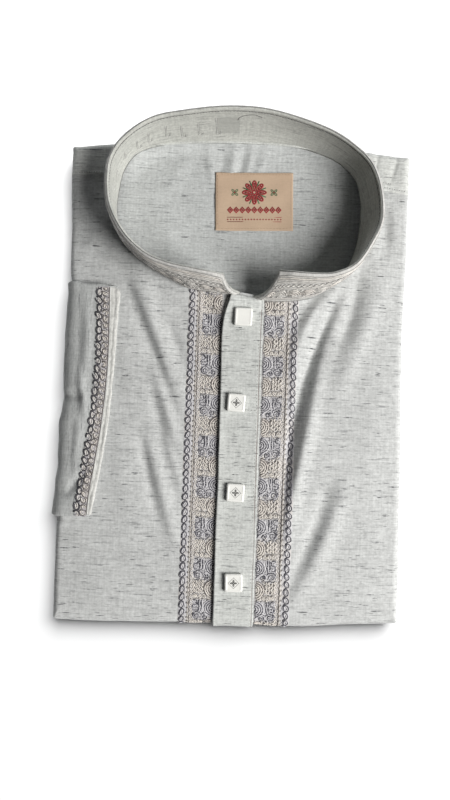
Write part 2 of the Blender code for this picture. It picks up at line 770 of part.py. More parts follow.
def main():
    for obj in list(bpy.data.objects):
        bpy.data.objects.remove(obj, do_unlink=True)
    make_stack()
    front = make_front()
    back = make_back()
    floor = neck_bowl("floor", 0.0, WALL, 0.0, "cloth_inside")
    boolean(back, "UNION", floor)
    outer = bvh_of(front, back)
    make_band("collar_outer", "embroidered", 0.2, 0.2 + COLLAR_PLY, outer)
    make_band("collar_inner", "cloth_inside", -0.2 - COLLAR_PLY, -0.2, outer)
    make_placket("placket_under", "cloth", GAP, GAP + PLACKET["under"], 1.6)
    near = 2 * GAP + PLACKET["under"]
    placket = make_placket("placket_upper", "cloth", near, near + PLACKET["upper"], 0.0)
    make_sleeve(outer)
    make_facing(outer)
    make_label(bvh_of(back))
    tree = bvh_of(placket)
    for name, x, y, turn in BUTTONS:
        make_button(name, x, y, turn, tree)


main()
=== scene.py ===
"""Looks of the folded kurta tunic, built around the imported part.

Tables and sizes are millimetres in the cutting frame: +x across the front,
+y from the foot fold to the collar, zero a little below the third button.
CENTRE moves that frame to the part's own, whose origin is under the middle of
its box. Every surface below is worked out from these tables.
"""

import math

import bpy
import numpy as np
from mathutils import Matrix, Vector


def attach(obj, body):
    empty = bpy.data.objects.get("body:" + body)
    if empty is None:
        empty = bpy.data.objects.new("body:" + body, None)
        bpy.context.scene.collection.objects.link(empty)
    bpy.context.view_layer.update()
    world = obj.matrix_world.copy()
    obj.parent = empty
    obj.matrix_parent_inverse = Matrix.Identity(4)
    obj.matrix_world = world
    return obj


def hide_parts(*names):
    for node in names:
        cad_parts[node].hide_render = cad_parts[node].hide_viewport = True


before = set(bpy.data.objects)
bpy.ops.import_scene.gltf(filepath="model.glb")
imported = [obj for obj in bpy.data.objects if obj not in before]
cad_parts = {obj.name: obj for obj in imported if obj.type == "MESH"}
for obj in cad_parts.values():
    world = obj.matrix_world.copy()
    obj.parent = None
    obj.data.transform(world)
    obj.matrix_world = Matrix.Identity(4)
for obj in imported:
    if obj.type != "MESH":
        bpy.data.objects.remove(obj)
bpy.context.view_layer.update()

MM = 0.001
CENTRE = (3.76, 19.0)
FOLD_R = 4.8
FOOT_R = 9.2
EDGE_HEIGHT = 18.8
CROWN = 1.9
NECK_FLOOR = 12.3
PI = math.pi

# ------------------------------------------------------------------- tables
# Plan of the folded body.   y       left    right
SIDES = (
    (-160.0, -114.9, 125.7), (-120.0, -115.2, 125.3), (-94.0, -115.2, 125.0),
    (-80.0, -113.4, 124.9), (-60.0, -112.0, 124.8), (-40.0, -110.6, 124.6),
    (0.0, -108.8, 124.0), (40.0, -109.4, 123.7), (70.0, -109.7, 124.4),
    (86.0, -113.0, 124.7), (110.0, -113.7, 125.2), (150.0, -115.0, 125.5),
    (177.0, -114.5, 125.4),
)
# Ends of the plan.          x      foot     top
ENDS = (
    (-116.0, -158.7, 176.2), (-84.0, -158.7, 179.6), (-66.0, -158.4, 181.2),
    (-50.0, -158.3, 183.6), (-26.0, -157.8, 186.0), (0.0, -156.5, 187.1),
    (21.0, -156.5, 187.0), (40.0, -157.6, 185.8), (58.0, -158.0, 183.4),
    (76.0, -156.4, 181.0), (94.0, -155.3, 179.7), (127.0, -153.6, 176.2),
)
# Soft swells of the whole stack.  x      y     reach x  reach y  height
SWELLS = (
    (4.0, 84.0, 62.0, 30.0, 3.6),
    (4.0, 186.0, 62.0, 16.0, -2.2),
    (-98.0, 140.0, 26.0, 40.0, 0.5),
    (70.0, -60.0, 50.0, 60.0, 0.6),
)
# Creases of the front: each runs through three points. reach a is to the left
# of its way, reach b to the right.
#    x0    y0     x1    y1     x2    y2   height  reach a  reach b
CREASES = (
    (68.0, 30.0, 54.6, -36.0, 43.0, -106.0, 3.5, 5.8, 3.8),  # long ridge beside the border
    (112.0, 94.0, 92.0, 39.0, 76.0, 0.0, 2.1, 6.5, 8.0),  # a broader one above it
    (78.0, 76.0, 47.0, 10.0, 43.5, -60.0, -5.6, 4.0, 3.2),  # its trough
    (73.0, 79.0, 47.5, 60.0, 46.5, 8.0, 3.1, 4.4, 6.8),  # ridge under the collar
    (80.0, 94.0, 51.0, 70.0, 46.0, 42.0, -2.9, 5.5, 5.5),  # hollow behind it
    (92.0, 100.0, 90.3, 68.0, 78.0, 36.0, -3.2, 5.8, 4.6),  # dip further out
    (73.0, -57.0, 67.5, -93.0, 44.5, -138.0, -2.1, 5.4, 4.6),  # low trough
    (87.0, -50.0, 78.0, -91.0, 51.0, -142.0, 2.4, 7.5, 5.5),  # and its ridge
    (108.0, 20.0, 105.0, -30.0, 98.0, -84.0, 0.8, 12.0, 10.0),
    (-66.0, 80.0, -49.0, 46.0, -28.0, -12.0, 2.5, 6.0, 4.0),  # left of the placket
    (-72.0, 78.0, -56.0, 42.0, -31.0, -20.0, -1.5, 3.6, 5.0),
    (-43.0, 52.0, -37.0, 42.0, -31.0, 26.0, -1.1, 3.0, 2.8),
    (-52.0, 24.0, -42.0, 0.0, -31.0, -38.0, 2.0, 5.0, 3.6),
    (-53.0, 8.0, -46.0, -12.0, -40.0, -44.0, -1.3, 3.6, 4.0),
    (-54.0, -24.0, -44.0, -56.0, -30.0, -106.0, 2.1, 5.5, 4.2),
    (-58.0, -26.0, -54.0, -52.0, -42.0, -92.0, -1.2, 3.4, 4.0),
    (-42.0, -28.0, -33.0, -46.0, -26.0, -70.0, 1.2, 3.4, 3.2),
    (-76.0, -10.0, -68.0, -60.0, -60.0, -118.0, 0.7, 10.0, 7.0),
    (-84.0, 72.0, -72.0, 40.0, -64.0, -6.0, 1.0, 8.0, 6.0),
    (-88.0, 124.0, -98.0, 110.0, -106.0, 92.0, 0.8, 5.0, 6.0),
    (104.0, 138.0, 107.0, 124.0, 112.0, 110.0, -1.0, 4.5, 5.0),  # right of the collar
    (99.0, 128.0, 101.0, 112.0, 101.0, 98.0, 0.9, 5.0, 3.5),
    (114.0, 146.0, 118.0, 120.0, 117.0, 92.0, 0.6, 5.0, 6.0),
    (28.0, -130.0, 60.0, -144.0, 100.0, -140.0, 0.5, 6.0, 6.0),
    (-100.0, -136.0, -60.0, -144.0, -34.0, -142.0, 0.5, 6.0, 6.0),
    (-2.0, 76.6, 12.0, 76.4, 26.0, 74.6, -0.9, 2.0, 1.3),  # under the collar's notch
    (-20.0, 80.0, -14.0, 65.0, -8.0, 46.0, -2.0, 5.0, 6.0),  # beside the placket's head
    (117.2, 178.0, 114.8, 167.0, 111.6, 156.5, -1.0, 1.1, 2.0),  # pleats at the shoulder
    (103.6, 178.0, 101.6, 169.0, 99.8, 162.0, -1.0, 1.2, 2.2),
    (93.5, 180.0, 94.5, 174.0, 96.0, 166.0, -0.7, 1.2, 2.0),
    (122.0, 172.0, 119.5, 160.0, 120.5, 152.0, 0.8, 3.2, 3.0),
    (99.0, 149.2, 112.0, 147.9, 125.0, 145.4, -0.6, 1.3, 1.0),  # under the shoulder seam
    (107.5, 141.0, 113.0, 127.0, 108.5, 108.0, -1.5, 3.4, 5.0),
    (-114.0, 162.0, -116.0, 118.0, -113.0, 74.0, -4.2, 32.0, 32.0),  # the left shoulder falls away
    (-70.0, 96.0, -56.0, 76.0, -52.0, 46.0, 1.6, 5.5, 11.0),
)
# Collar band, station by station from its left end round the back.
#      seam x  seam y   edge x  edge y  edge z
BAND = (
    (8.0, 73.8, -3.8, 81.8, 50.0), (-8.0, 75.2, -12.0, 82.4, 53.5),
    (-27.0, 77.6, -26.0, 84.6, 54.0), (-41.3, 84.0, -40.0, 87.2, 54.0),
    (-55.6, 92.2, -54.8, 92.6, 54.0), (-70.1, 105.0, -68.6, 103.8, 53.5),
    (-79.0, 118.0, -78.0, 117.6, 52.5), (-82.5, 131.0, -83.0, 131.0, 50.5),
    (-81.5, 146.0, -84.4, 147.0, 48.5), (-78.2, 160.5, -82.4, 161.0, 47.0),
    (-69.5, 173.2, -73.5, 174.8, 46.0), (-52.7, 180.3, -55.5, 187.3, 46.0),
    (-32.0, 183.2, -33.5, 192.6, 46.0), (-8.0, 184.5, -9.0, 196.0, 46.0),
    (17.0, 184.6, 17.5, 195.8, 46.0), (41.0, 183.4, 42.5, 190.7, 46.0),
    (61.6, 178.1, 66.0, 182.4, 46.0), (77.0, 170.6, 83.0, 171.2, 46.5),
    (88.0, 159.6, 94.0, 158.6, 47.5), (92.5, 145.0, 99.6, 141.0, 49.0),
    (92.6, 128.0, 100.2, 122.5, 51.5), (90.0, 110.0, 95.0, 108.5, 53.5),
    (82.5, 92.0, 84.5, 91.8, 54.0), (70.3, 81.8, 70.5, 84.4, 54.0),
    (56.6, 73.9, 57.5, 83.2, 54.0), (37.0, 70.4, 43.0, 84.0, 53.5),
    (16.0, 71.1, 33.2, 85.2, 50.0),
)
SHOULDER_SEAM = (
    (-135.0, 154.0), (-105.0, 156.0), (-89.0, 155.8), (-70.0, 150.0),
    (85.0, 147.5), (106.0, 151.2), (115.6, 149.9), (125.0, 148.3), (140.0, 145.0),
)
# Sleeve: where its two plies end at the cuff.   y, upper, lower
CUFF = (
    (-90.0, -93.0, -91.6), (-70.0, -91.5, -88.2), (-50.0, -88.6, -84.9),
    (-25.0, -85.2, -81.4), (-5.0, -83.3, -79.9), (20.0, -81.9, -78.3),
    (50.0, -81.9, -77.0), (82.0, -82.8, -76.6),
)
# How far the sleeve's side fold stands out.  y, out
SLEEVE_SIDE = (
    (-86.0, 0.2), (-75.0, 0.7), (-62.0, 1.5), (-50.0, 0.8), (-42.0, 1.7),
    (-30.0, 1.9), (-20.0, 2.3), (-13.0, 1.2), (0.0, 1.3), (14.0, 1.4),
    (30.0, 1.5), (43.0, 1.7), (52.0, 0.8), (64.0, 0.0), (72.0, -0.9), (82.0, -1.7),
)
SLEEVE_TOP, SLEEVE_FOOT = 78.0, -85.0
PLACKET_LEFT, PLACKET_RIGHT = -3.4, 24.6
BUTTONS = (
    ("button_1", 10.8, 57.3, -1.0, False),
    ("button_2", 7.9, -2.5, -3.0, True),
    ("button_3", 9.4, -64.6, -2.0, True),
    ("button_4", 10.2, -126.4, 1.5, True),
)


# ------------------------------------------------------------ number helpers
def read(table, column, t):
    """Smooth values of a table's column at t, its first column."""
    t = np.asarray(t, float)
    keys = np.array([row[0] for row in table])
    values = np.array([row[column] for row in table])
    n = len(keys)
    before, after = np.maximum(np.arange(n) - 1, 0), np.minimum(np.arange(n) + 1, n - 1)
    slopes = (values[after] - values[before]) / (keys[after] - keys[before])
    t = np.clip(t, keys[0], keys[-1])
    i = np.clip(np.searchsorted(keys, t, side="right") - 1, 0, n - 2)
    span = keys[i + 1] - keys[i]
    f = (t - keys[i]) / span
    return (
        values[i] * (2 * f**3 - 3 * f**2 + 1)
        + slopes[i] * span * (f**3 - 2 * f**2 + f)
        + values[i + 1] * (3 * f**2 - 2 * f**3)
        + slopes[i + 1] * span * (f**3 - f**2)
    )


def soft(f):
    f = np.clip(f, 0.0, 1.0)
    return f * f * (3 - 2 * f)


def spot(ix, iy, seed):
    """A repeatable number from -1 to 1 for each lattice point."""
    h = (ix.astype(np.int64) * 374761393 + iy.astype(np.int64) * 668265263 + seed * 974711 + 12345) & 0xFFFFFFFF
    h = ((h ^ (h >> 13)) * 1274126177) & 0xFFFFFFFF
    h = (h ^ (h >> 16)) & 0xFFFFFFFF
    return h / 2147483647.5 - 1


def wander(x, y, seed=0):
    """Smooth noise from -1 to 1 with one swing a unit."""
    x, y = np.broadcast_arrays(np.asarray(x, float), np.asarray(y, float))
    ix, iy = np.floor(x), np.floor(y)
    fx, fy = x - ix, y - iy
    fx, fy = fx**3 * (fx * (6 * fx - 15) + 10), fy**3 * (fy * (6 * fy - 15) + 10)
    a, b = spot(ix, iy, seed), spot(ix + 1, iy, seed)
    c, d = spot(ix, iy + 1, seed), spot(ix + 1, iy + 1, seed)
    return (a * (1 - fx) + b * fx) * (1 - fy) + (c * (1 - fx) + d * fx) * fy


def crease(x, y, row):
    """Height of one soft crease at plan points."""
    x0, y0, x1, y1, x2, y2, height, reach_a, reach_b = row
    out = np.zeros_like(x)
    margin = 2.6 * max(reach_a, reach_b)
    near = (
        (x > min(x0, x1, x2) - margin) & (x < max(x0, x1, x2) + margin)
        & (y > min(y0, y1, y2) - margin) & (y < max(y0, y1, y2) + margin)
    )
    if not near.any():
        return out
    px, py = x[near], y[near]
    best, where, side = np.full(px.shape, 1e9), np.zeros(px.shape), np.zeros(px.shape)
    t = np.linspace(0, 1, 17)
    qx = x0 * (1 - t) ** 2 + 2 * x1 * t * (1 - t) + x2 * t**2
    qy = y0 * (1 - t) ** 2 + 2 * y1 * t * (1 - t) + y2 * t**2
    for k in range(16):
        dx, dy = qx[k + 1] - qx[k], qy[k + 1] - qy[k]
        f = np.clip(((px - qx[k]) * dx + (py - qy[k]) * dy) / (dx * dx + dy * dy), 0, 1)
        d = np.hypot(px - qx[k] - f * dx, py - qy[k] - f * dy)
        closer = d < best
        best = np.where(closer, d, best)
        where = np.where(closer, (k + f) / 16, where)
        side = np.where(closer, dx * (py - qy[k]) - dy * (px - qx[k]), side)
    reach = np.where(side > 0, reach_a, reach_b)
    out[near] = height * np.exp(-((best / reach) ** 2)) * np.sin(PI * (0.04 + 0.92 * where)) ** 0.8
    return out


def stack_top(x, y):
    across = np.clip(np.abs((x - 5.2) / 118.0), 0, 1)
    along = np.clip(np.abs((y - 10.0) / 165.0), 0, 1)
    z = EDGE_HEIGHT + CROWN * (1 - across**3) * (1 - along**3)
    for cx, cy, rx, ry, height in SWELLS:
        z = z + height * np.exp(-(((x - cx) / rx) ** 2) - ((y - cy) / ry) ** 2)
    return z


def front_top(x, y):
    """Height of the front's outer face."""
    x, y = np.broadcast_arrays(np.asarray(x, float), np.asarray(y, float))
    z = stack_top(x, y)
    for row in CREASES:
        z = z + crease(x, y, row)
    z = z + 0.22 * wander(x / 26, y / 40, 3) + 0.10 * wander(x / 9, y / 13, 4)
    return z


# --------------------------------------------------------------- mesh helpers
def place(points):
    """Cutting-frame millimetres to the part's metres."""
    p = np.array(points, float)
    p[:, 0] -= CENTRE[0]
    p[:, 1] -= CENTRE[1]
    return p * MM


def build(name, verts, faces, material, uv=None, smooth=True):
    """A mesh from vertices in millimetres and a list of face arrays."""
    loops, totals = [], []
    for block in faces if isinstance(faces, list) else [faces]:
        block = np.asarray(block, np.int64)
        if block.size == 0:
            continue
        if block.shape[1] == 4:
            same = (block[:, 0] == block[:, 1]) | (block[:, 1] == block[:, 2]) | (block[:, 2] == block[:, 3]) | (block[:, 3] == block[:, 0])
            for quad in block[same]:
                ring = list(dict.fromkeys(quad.tolist()))
                if len(ring) == 3:
                    loops.append(np.array(ring))
                    totals.append(np.array([3]))
            block = block[~same]
        loops.append(block.reshape(-1))
        totals.append(np.full(len(block), block.shape[1]))
    loops, totals = np.concatenate(loops), np.concatenate(totals)
    used = np.unique(loops)
    index = np.zeros(len(verts), np.int64)
    index[used] = np.arange(len(used))
    loops = index[loops]
    points = place(np.asarray(verts)[used])
    mesh = bpy.data.meshes.new(name)
    mesh.vertices.add(len(points))
    mesh.vertices.foreach_set("co", points.astype(np.float32).reshape(-1))
    mesh.loops.add(len(loops))
    mesh.loops.foreach_set("vertex_index", loops.astype(np.int32))
    mesh.polygons.add(len(totals))
    starts = np.concatenate([[0], np.cumsum(totals)[:-1]])
    mesh.polygons.foreach_set("loop_start", starts.astype(np.int32))
    mesh.polygons.foreach_set("loop_total", totals.astype(np.int32))
    mesh.update(calc_edges=True)
    mesh.validate()
    if uv is not None:
        layer = mesh.uv_layers.new(name="cut")
        picked = np.asarray(uv, float)[used][loops] / 100.0
        layer.data.foreach_set("uv", picked.astype(np.float32).reshape(-1))
    if smooth:
        mesh.shade_smooth()
    obj = bpy.data.objects.new(name, mesh)
    bpy.context.scene.collection.objects.link(obj)
    obj.data.materials.append(material)
    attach(obj, "root")
    return obj


def quads(index, wrap=False):
    """Quads over a 2-D array of vertex numbers."""
    if wrap:
        index = np.concatenate([index, index[:, :1]], axis=1)
    return np.stack([index[:-1, :-1], index[:-1, 1:], index[1:, 1:], index[1:, :-1]], -1).reshape(-1, 4)


def inside(x, y, outline):
    """Which plan points lie inside a closed outline."""
    hit = np.zeros(np.shape(x), bool)
    ox, oy = np.array(outline)[:, 0], np.array(outline)[:, 1]
    for k in range(len(ox)):
        ax, ay, bx, by = ox[k - 1], oy[k - 1], ox[k], oy[k]
        if ay == by:
            continue
        cross = ((ay > y) != (by > y)) & (x < (bx - ax) * (y - ay) / (by - ay) + ax)
        hit ^= cross
    return hit


class Threads:
    """Many round cords joined in one mesh. Each is a path of points with the
    surface's normal at each, so that the cord lies on the cloth."""

    def __init__(self, sides=5):
        self.sides, self.verts, self.faces, self.uv, self.count, self.queue = sides, [], [], [], 0, []

    def cord(self, path, normals, radius, flat=0.75, closed=False, taper=True):
        p, n = np.asarray(path, float), np.asarray(normals, float)
        if len(p) < 2:
            return
        if closed:
            d = np.roll(p, -1, 0) - np.roll(p, 1, 0)
        else:
            d = np.gradient(p, axis=0)
        d /= np.maximum(np.linalg.norm(d, axis=1, keepdims=True), 1e-9)
        n = n - (n * d).sum(1, keepdims=True) * d
        n /= np.maximum(np.linalg.norm(n, axis=1, keepdims=True), 1e-9)
        b = np.cross(d, n)
        size = np.full(len(p), float(radius))
        if taper and not closed:
            size[0] *= 0.45
            size[-1] *= 0.45
        a = np.arange(self.sides) / self.sides * 2 * PI + PI / 2
        ring = (
            p[:, None, :]
            + size[:, None, None] * (np.cos(a)[None, :, None] * b[:, None, :] + flat * np.sin(a)[None, :, None] * n[:, None, :])
        )
        index = self.count + np.arange(len(p) * self.sides).reshape(len(p), self.sides)
        self.verts.append(ring.reshape(-1, 3))
        run = np.concatenate([[0], np.cumsum(np.linalg.norm(np.diff(p, axis=0), axis=1))])
        self.uv.append(np.stack([np.repeat(run, self.sides), np.tile(a, len(p))], -1))
        if closed:
            both = np.concatenate([index, index[:1]], 0)
            self.faces.append(quads(both, wrap=True)[:, ::-1])
        else:
            self.faces.append(quads(index, wrap=True)[:, ::-1])
            for end, turn in ((index[0], 1), (index[-1], -1)):
                fan = [[end[0], end[k], end[k + 1], end[k + 1]] for k in range(1, self.sides - 1)]
                self.faces.append(np.array(fan)[:, ::turn])
        self.count += len(p) * self.sides

    def later(self, u, v, off, radius, flat=0.8):
        """Keeps a cord given by its place on a surface until settle()."""
        self.queue.append((np.asarray(u, float), np.asarray(v, float), np.broadcast_to(np.asarray(off, float), np.shape(u)), radius, flat))

    def settle(self, place_):
        """Lays the kept cords on the surface that place_ describes."""
        if not self.queue:
            return
        u, v, off = (np.concatenate([row[k] for row in self.queue]) for k in range(3))
        p, n = place_(u, v, off)
        ends = np.cumsum([len(row[0]) for row in self.queue])
        for row, end in zip(self.queue, ends):
            part = slice(end - len(row[0]), end)
            self.cord(p[part], n[part], row[3], flat=row[4])
        self.queue = []

    def make(self, name, material):
        return build(name, np.concatenate(self.verts), [np.concatenate(self.faces)], material, np.concatenate(self.uv))


# ------------------------------------------------------- the front as a sheet
def plan(a, b):
    """Plan point for shares across and along the lying part."""
    x, y = np.zeros_like(a), np.zeros_like(a)
    for _ in range(5):
        left, right = read(SIDES, 1, y) + FOLD_R, read(SIDES, 2, y) - FOLD_R
        x = left + (right - left) * a
        foot, top = read(ENDS, 1, x) + FOOT_R, read(ENDS, 2, x) - FOLD_R
        y = foot + (top - foot) * b
    return x, y


# --------------------------------------------------------------- the collar
def band_line(t):
    """seam (x, y) and edge (x, y, z) of the band at t from 0 to 1."""
    keyed = [(k / (len(BAND) - 1), *row) for k, row in enumerate(BAND)]
    return [read(keyed, k, t) for k in range(1, 6)]


def neck_outline(shift=0.0, points=160, front_shift=0.0):
    t = np.linspace(0, 1, points)
    sx, sy = band_line(t)[:2]
    ax, ay = np.roll(sx, 1), np.roll(sy, 1)
    bx, by = np.roll(sx, -1), np.roll(sy, -1)
    dx, dy = bx - ax, by - ay
    length = np.hypot(dx, dy)
    dx, dy = dx / length, dy / length
    more = shift + front_shift * soft((125 - sy) / 30)
    return np.stack([sx - dy * more, sy + dx * more], -1)


def seam_line(x):
    return read(SHOULDER_SEAM, 1, x)


NECK = neck_outline()


# ---------------------------------------------------------------- materials
class Graph:
    """A Principled material under construction."""

    def __init__(self, name, colour, roughness, specular=0.5, sheen=0.0, uv=True):
        self.material = bpy.data.materials.new(name)
        self.material.use_nodes = True
        self.tree = self.material.node_tree
        self.shader = self.tree.nodes["Principled BSDF"]
        self.set("Base Color", (*colour, 1))
        self.set("Roughness", roughness)
        self.set("Specular IOR Level", specular)
        self.set("Sheen Weight", sheen)
        self.set("Sheen Roughness", 0.5)
        if uv:
            node = self.tree.nodes.new("ShaderNodeUVMap")
            node.uv_map = "cut"
            self.uv = node.outputs[0]

    def set(self, socket, value):
        self.shader.inputs[socket].default_value = value

    def feed(self, socket, value):
        self.tree.links.new(value, self.shader.inputs[socket])

    def put(self, node, key, value):
        if isinstance(value, bpy.types.NodeSocket):
            self.tree.links.new(value, node.inputs[key])
        else:
            node.inputs[key].default_value = value

    def math(self, kind, a, b=0.0, clamp=False):
        node = self.tree.nodes.new("ShaderNodeMath")
        node.operation, node.use_clamp = kind, clamp
        self.put(node, 0, a)
        self.put(node, 1, b)
        return node.outputs[0]

    def noise(self, across, along, seed=0, detail=2.0, rough=0.5, distort=0.0):
        """Noise with one swing in so many millimetres each way of the cut."""
        mapping = self.tree.nodes.new("ShaderNodeMapping")
        self.put(mapping, "Vector", self.uv)
        self.put(mapping, "Location", (seed * 7.31, seed * 3.17, seed * 1.73))
        self.put(mapping, "Scale", (100.0 / across, 100.0 / along, 1.0))
        node = self.tree.nodes.new("ShaderNodeTexNoise")
        self.put(node, "Vector", mapping.outputs[0])
        self.put(node, "Scale", 1.0)
        self.put(node, "Detail", detail)
        self.put(node, "Roughness", rough)
        self.put(node, "Distortion", distort)
        return node.outputs[0]

    def ramp(self, value, low, high, to_low=0.0, to_high=1.0):
        node = self.tree.nodes.new("ShaderNodeMapRange")
        node.interpolation_type = "SMOOTHSTEP"
        for key, x in (("Value", value), ("From Min", low), ("From Max", high), ("To Min", to_low), ("To Max", to_high)):
            self.put(node, key, x)
        return node.outputs[0]

    def mix(self, factor, a, b):
        node = self.tree.nodes.new("ShaderNodeMix")
        node.data_type = "RGBA"
        for key, x in ((0, factor), (6, a if isinstance(a, bpy.types.NodeSocket) else (*a, 1)), (7, b if isinstance(b, bpy.types.NodeSocket) else (*b, 1))):
            self.put(node, key, x)
        return node.outputs[2]

    def vary(self, base, parts):
        """base times 1 plus each noise's swing about its middle."""
        total = 1.0
        for value, amount in parts:
            swing = self.math("MULTIPLY", self.math("SUBTRACT", value, 0.5), amount)
            total = self.math("ADD", swing, total)
        node = self.tree.nodes.new("ShaderNodeVectorMath")
        node.operation = "SCALE"
        if isinstance(base, bpy.types.NodeSocket):
            self.tree.links.new(base, node.inputs[0])
        else:
            node.inputs[0].default_value = base
        self.put(node, "Scale", total)
        return node.outputs[0]

    def bump(self, parts, depth):
        """Bump from noises, each with its share of depth in millimetres."""
        total = 0.0
        for value, amount in parts:
            total = self.math("ADD", self.math("MULTIPLY", value, amount), total)
        node = self.tree.nodes.new("ShaderNodeBump")
        self.put(node, "Strength", 1.0)
        self.put(node, "Distance", depth * MM)
        self.put(node, "Height", total)
        self.feed("Normal", node.outputs[0])


def slub_cloth(name, colour, dark=(0.085, 0.088, 0.095), seed=0, amount=1.0, sheen=0.12, patch_at=None):
    """Plain weave with thick and thin yarns: slubs run along the cut's u.
    patch_at is a box of the cut whose backing shows through a little darker."""
    g = Graph(name, colour, 0.88, specular=0.25, sheen=sheen)
    long_streak = g.noise(36, 1.3, seed + 1, 3.0)
    short_streak = g.noise(10.0, 1.0, seed + 2, 2.0)
    cross = g.noise(1.1, 13.0, seed + 3, 2.0)
    grain = g.noise(1.9, 1.3, seed + 13, 2.0, 0.6)
    cloud = g.noise(38, 30, seed + 4, 1.0)
    patch = g.noise(11, 5, seed + 5, 2.0)
    cluster = g.noise(30, 13, seed + 6, 1.0)
    body = g.vary(colour, [
        (long_streak, 0.34), (short_streak, 0.40), (cross, 0.36), (grain, 0.66), (cloud, 0.08), (patch, 0.08),
    ])
    # Thin and thick slubs, few and far between, with faint grey ones among
    # them. The ground yarns break each into short dashes.
    thin = g.noise(8.0, 0.85, seed + 7, 0.0)
    thick = g.noise(12.0, 1.25, seed + 8, 0.0)
    faint = g.noise(13.0, 1.1, seed + 10, 0.0)
    broken = g.ramp(g.noise(2.0, 3.0, seed + 14, 1.0), 0.38, 0.56, 0.45, 1.0)
    more = g.ramp(cluster, 0.34, 0.62, 0.30, 1.0)
    thin_mask = g.math("MULTIPLY", g.ramp(thin, 0.722, 0.782), 0.85 * amount)
    thick_mask = g.math("MULTIPLY", g.ramp(thick, 0.755, 0.795), 1.10 * amount)
    faint_mask = g.math("MULTIPLY", g.ramp(faint, 0.66, 0.80), 0.46)
    mask = g.math("MULTIPLY", g.math("MAXIMUM", thin_mask, thick_mask), more, clamp=True)
    mask = g.math("MULTIPLY", g.math("MAXIMUM", mask, faint_mask), broken)
    pale = g.math("MULTIPLY", g.ramp(g.noise(7.0, 0.45, seed + 9, 0.0), 0.66, 0.80), 0.40)
    tinted = g.mix(pale, body, tuple(min(c * 1.25, 0.95) for c in colour))
    shown = g.mix(mask, tinted, dark)
    if patch_at:
        split = g.tree.nodes.new("ShaderNodeSeparateXYZ")
        g.put(split, 0, g.uv)
        u0, u1, v0, v1 = (edge / 100.0 for edge in patch_at)
        inside_u = g.math("MULTIPLY", g.ramp(split.outputs[0], u0 - 0.004, u0 + 0.004), g.ramp(split.outputs[0], u1 - 0.004, u1 + 0.004, 1.0, 0.0))
        inside_v = g.math("MULTIPLY", g.ramp(split.outputs[1], v0 - 0.004, v0 + 0.004), g.ramp(split.outputs[1], v1 - 0.004, v1 + 0.004, 1.0, 0.0))
        shown = g.mix(g.math("MULTIPLY", g.math("MULTIPLY", inside_u, inside_v), 0.55), shown, (0.33, 0.335, 0.315))
    g.feed("Base Color", shown)
    weft = g.noise(2.2, 0.26, seed + 11, 1.0)
    warp = g.noise(0.26, 2.2, seed + 12, 1.0)
    g.bump([(weft, 0.6), (warp, 0.45), (mask, 0.5), (short_streak, 0.5)], 0.14)
    return g.material


def thread(name, colour, other, seed=0, roughness=0.5):
    """Embroidery floss: tone drifts along the cord, fine twist in the bump."""
    g = Graph(name, colour, roughness, specular=0.45, sheen=0.25)
    drift = g.noise(5.0, 300, seed + 1, 2.0)
    strand = g.noise(0.9, 60, seed + 2, 1.0)
    tone = g.mix(g.ramp(drift, 0.34, 0.66), colour, other)
    g.feed("Base Color", g.vary(tone, [(strand, 0.5)]))
    g.bump([(strand, 1.0)], 0.08)
    return g.material


def stitched_ground(name, blush, lilac, period, start, seed=0):
    """Fill stitching under the cords; its tone alternates down the repeat."""
    g = Graph(name, blush, 0.75, specular=0.3, sheen=0.2)
    ribs = g.noise(2.6, 0.34, seed + 1, 2.0)
    ribs_across = g.noise(0.4, 2.0, seed + 2, 2.0)
    cloud = g.noise(5, 5, seed + 3, 2.0)
    if period:
        split = g.tree.nodes.new("ShaderNodeSeparateXYZ")
        g.put(split, 0, g.uv)
        turn = g.math("MULTIPLY", g.math("SUBTRACT", split.outputs[1], start / 100), 2 * PI * 100 / period)
        lean = g.math("ADD", g.math("SINE", turn), g.math("MULTIPLY", g.math("SUBTRACT", cloud, 0.5), 2.0))
        tone = g.mix(g.ramp(lean, -1.1, 1.1), blush, lilac)
    else:
        tone = g.mix(g.ramp(cloud, 0.35, 0.65), blush, lilac)
    g.feed("Base Color", g.vary(tone, [(ribs, 0.7), (ribs_across, 0.5), (cloud, 0.25)]))
    g.bump([(ribs, 1.0), (ribs_across, 0.7)], 0.22)
    return g.material


CLOTH = (0.515, 0.525, 0.519)
cloth = slub_cloth("slub_cloth", CLOTH, seed=0)
# The sleeve's cloth is a darker copy of the body cloth: painted shade.
cloth_sleeve = slub_cloth("slub_cloth_sleeve", (0.430, 0.442, 0.436), seed=20, amount=0.5)
cloth_placket = slub_cloth("slub_cloth_placket", (0.530, 0.545, 0.527), seed=40, amount=1.1)
# The back over the shoulders is a lighter copy of the body cloth: painted light on faces turned from the key lamp.
cloth_back = slub_cloth("slub_cloth_back", (0.570, 0.582, 0.560), seed=60, amount=0.7)
# The inside of the neck is a darker copy of the body cloth: painted shade in the recess.
cloth_inside = slub_cloth("slub_cloth_inside", (0.490, 0.505, 0.500), dark=(0.11, 0.115, 0.12), seed=80, amount=0.7)
cloth_stack = slub_cloth("slub_cloth_layers", (0.470, 0.480, 0.465), seed=100, amount=0.7)
cloth_band = slub_cloth("slub_cloth_band", (0.490, 0.497, 0.465), dark=(0.16, 0.16, 0.16), seed=120, amount=0.5, patch_at=(221.3, 236.9, -24.0, -9.3))
# The collar's outer ply is a lighter copy of the band cloth: painted light on a face turned from the key lamp.
cloth_band_out = slub_cloth("slub_cloth_band_out", (0.53, 0.525, 0.505), dark=(0.26, 0.26, 0.27), seed=140, amount=0.3)
cloth_facing = slub_cloth("plain_facing", (0.60, 0.60, 0.575), dark=(0.36, 0.36, 0.35), seed=160, amount=0.4)

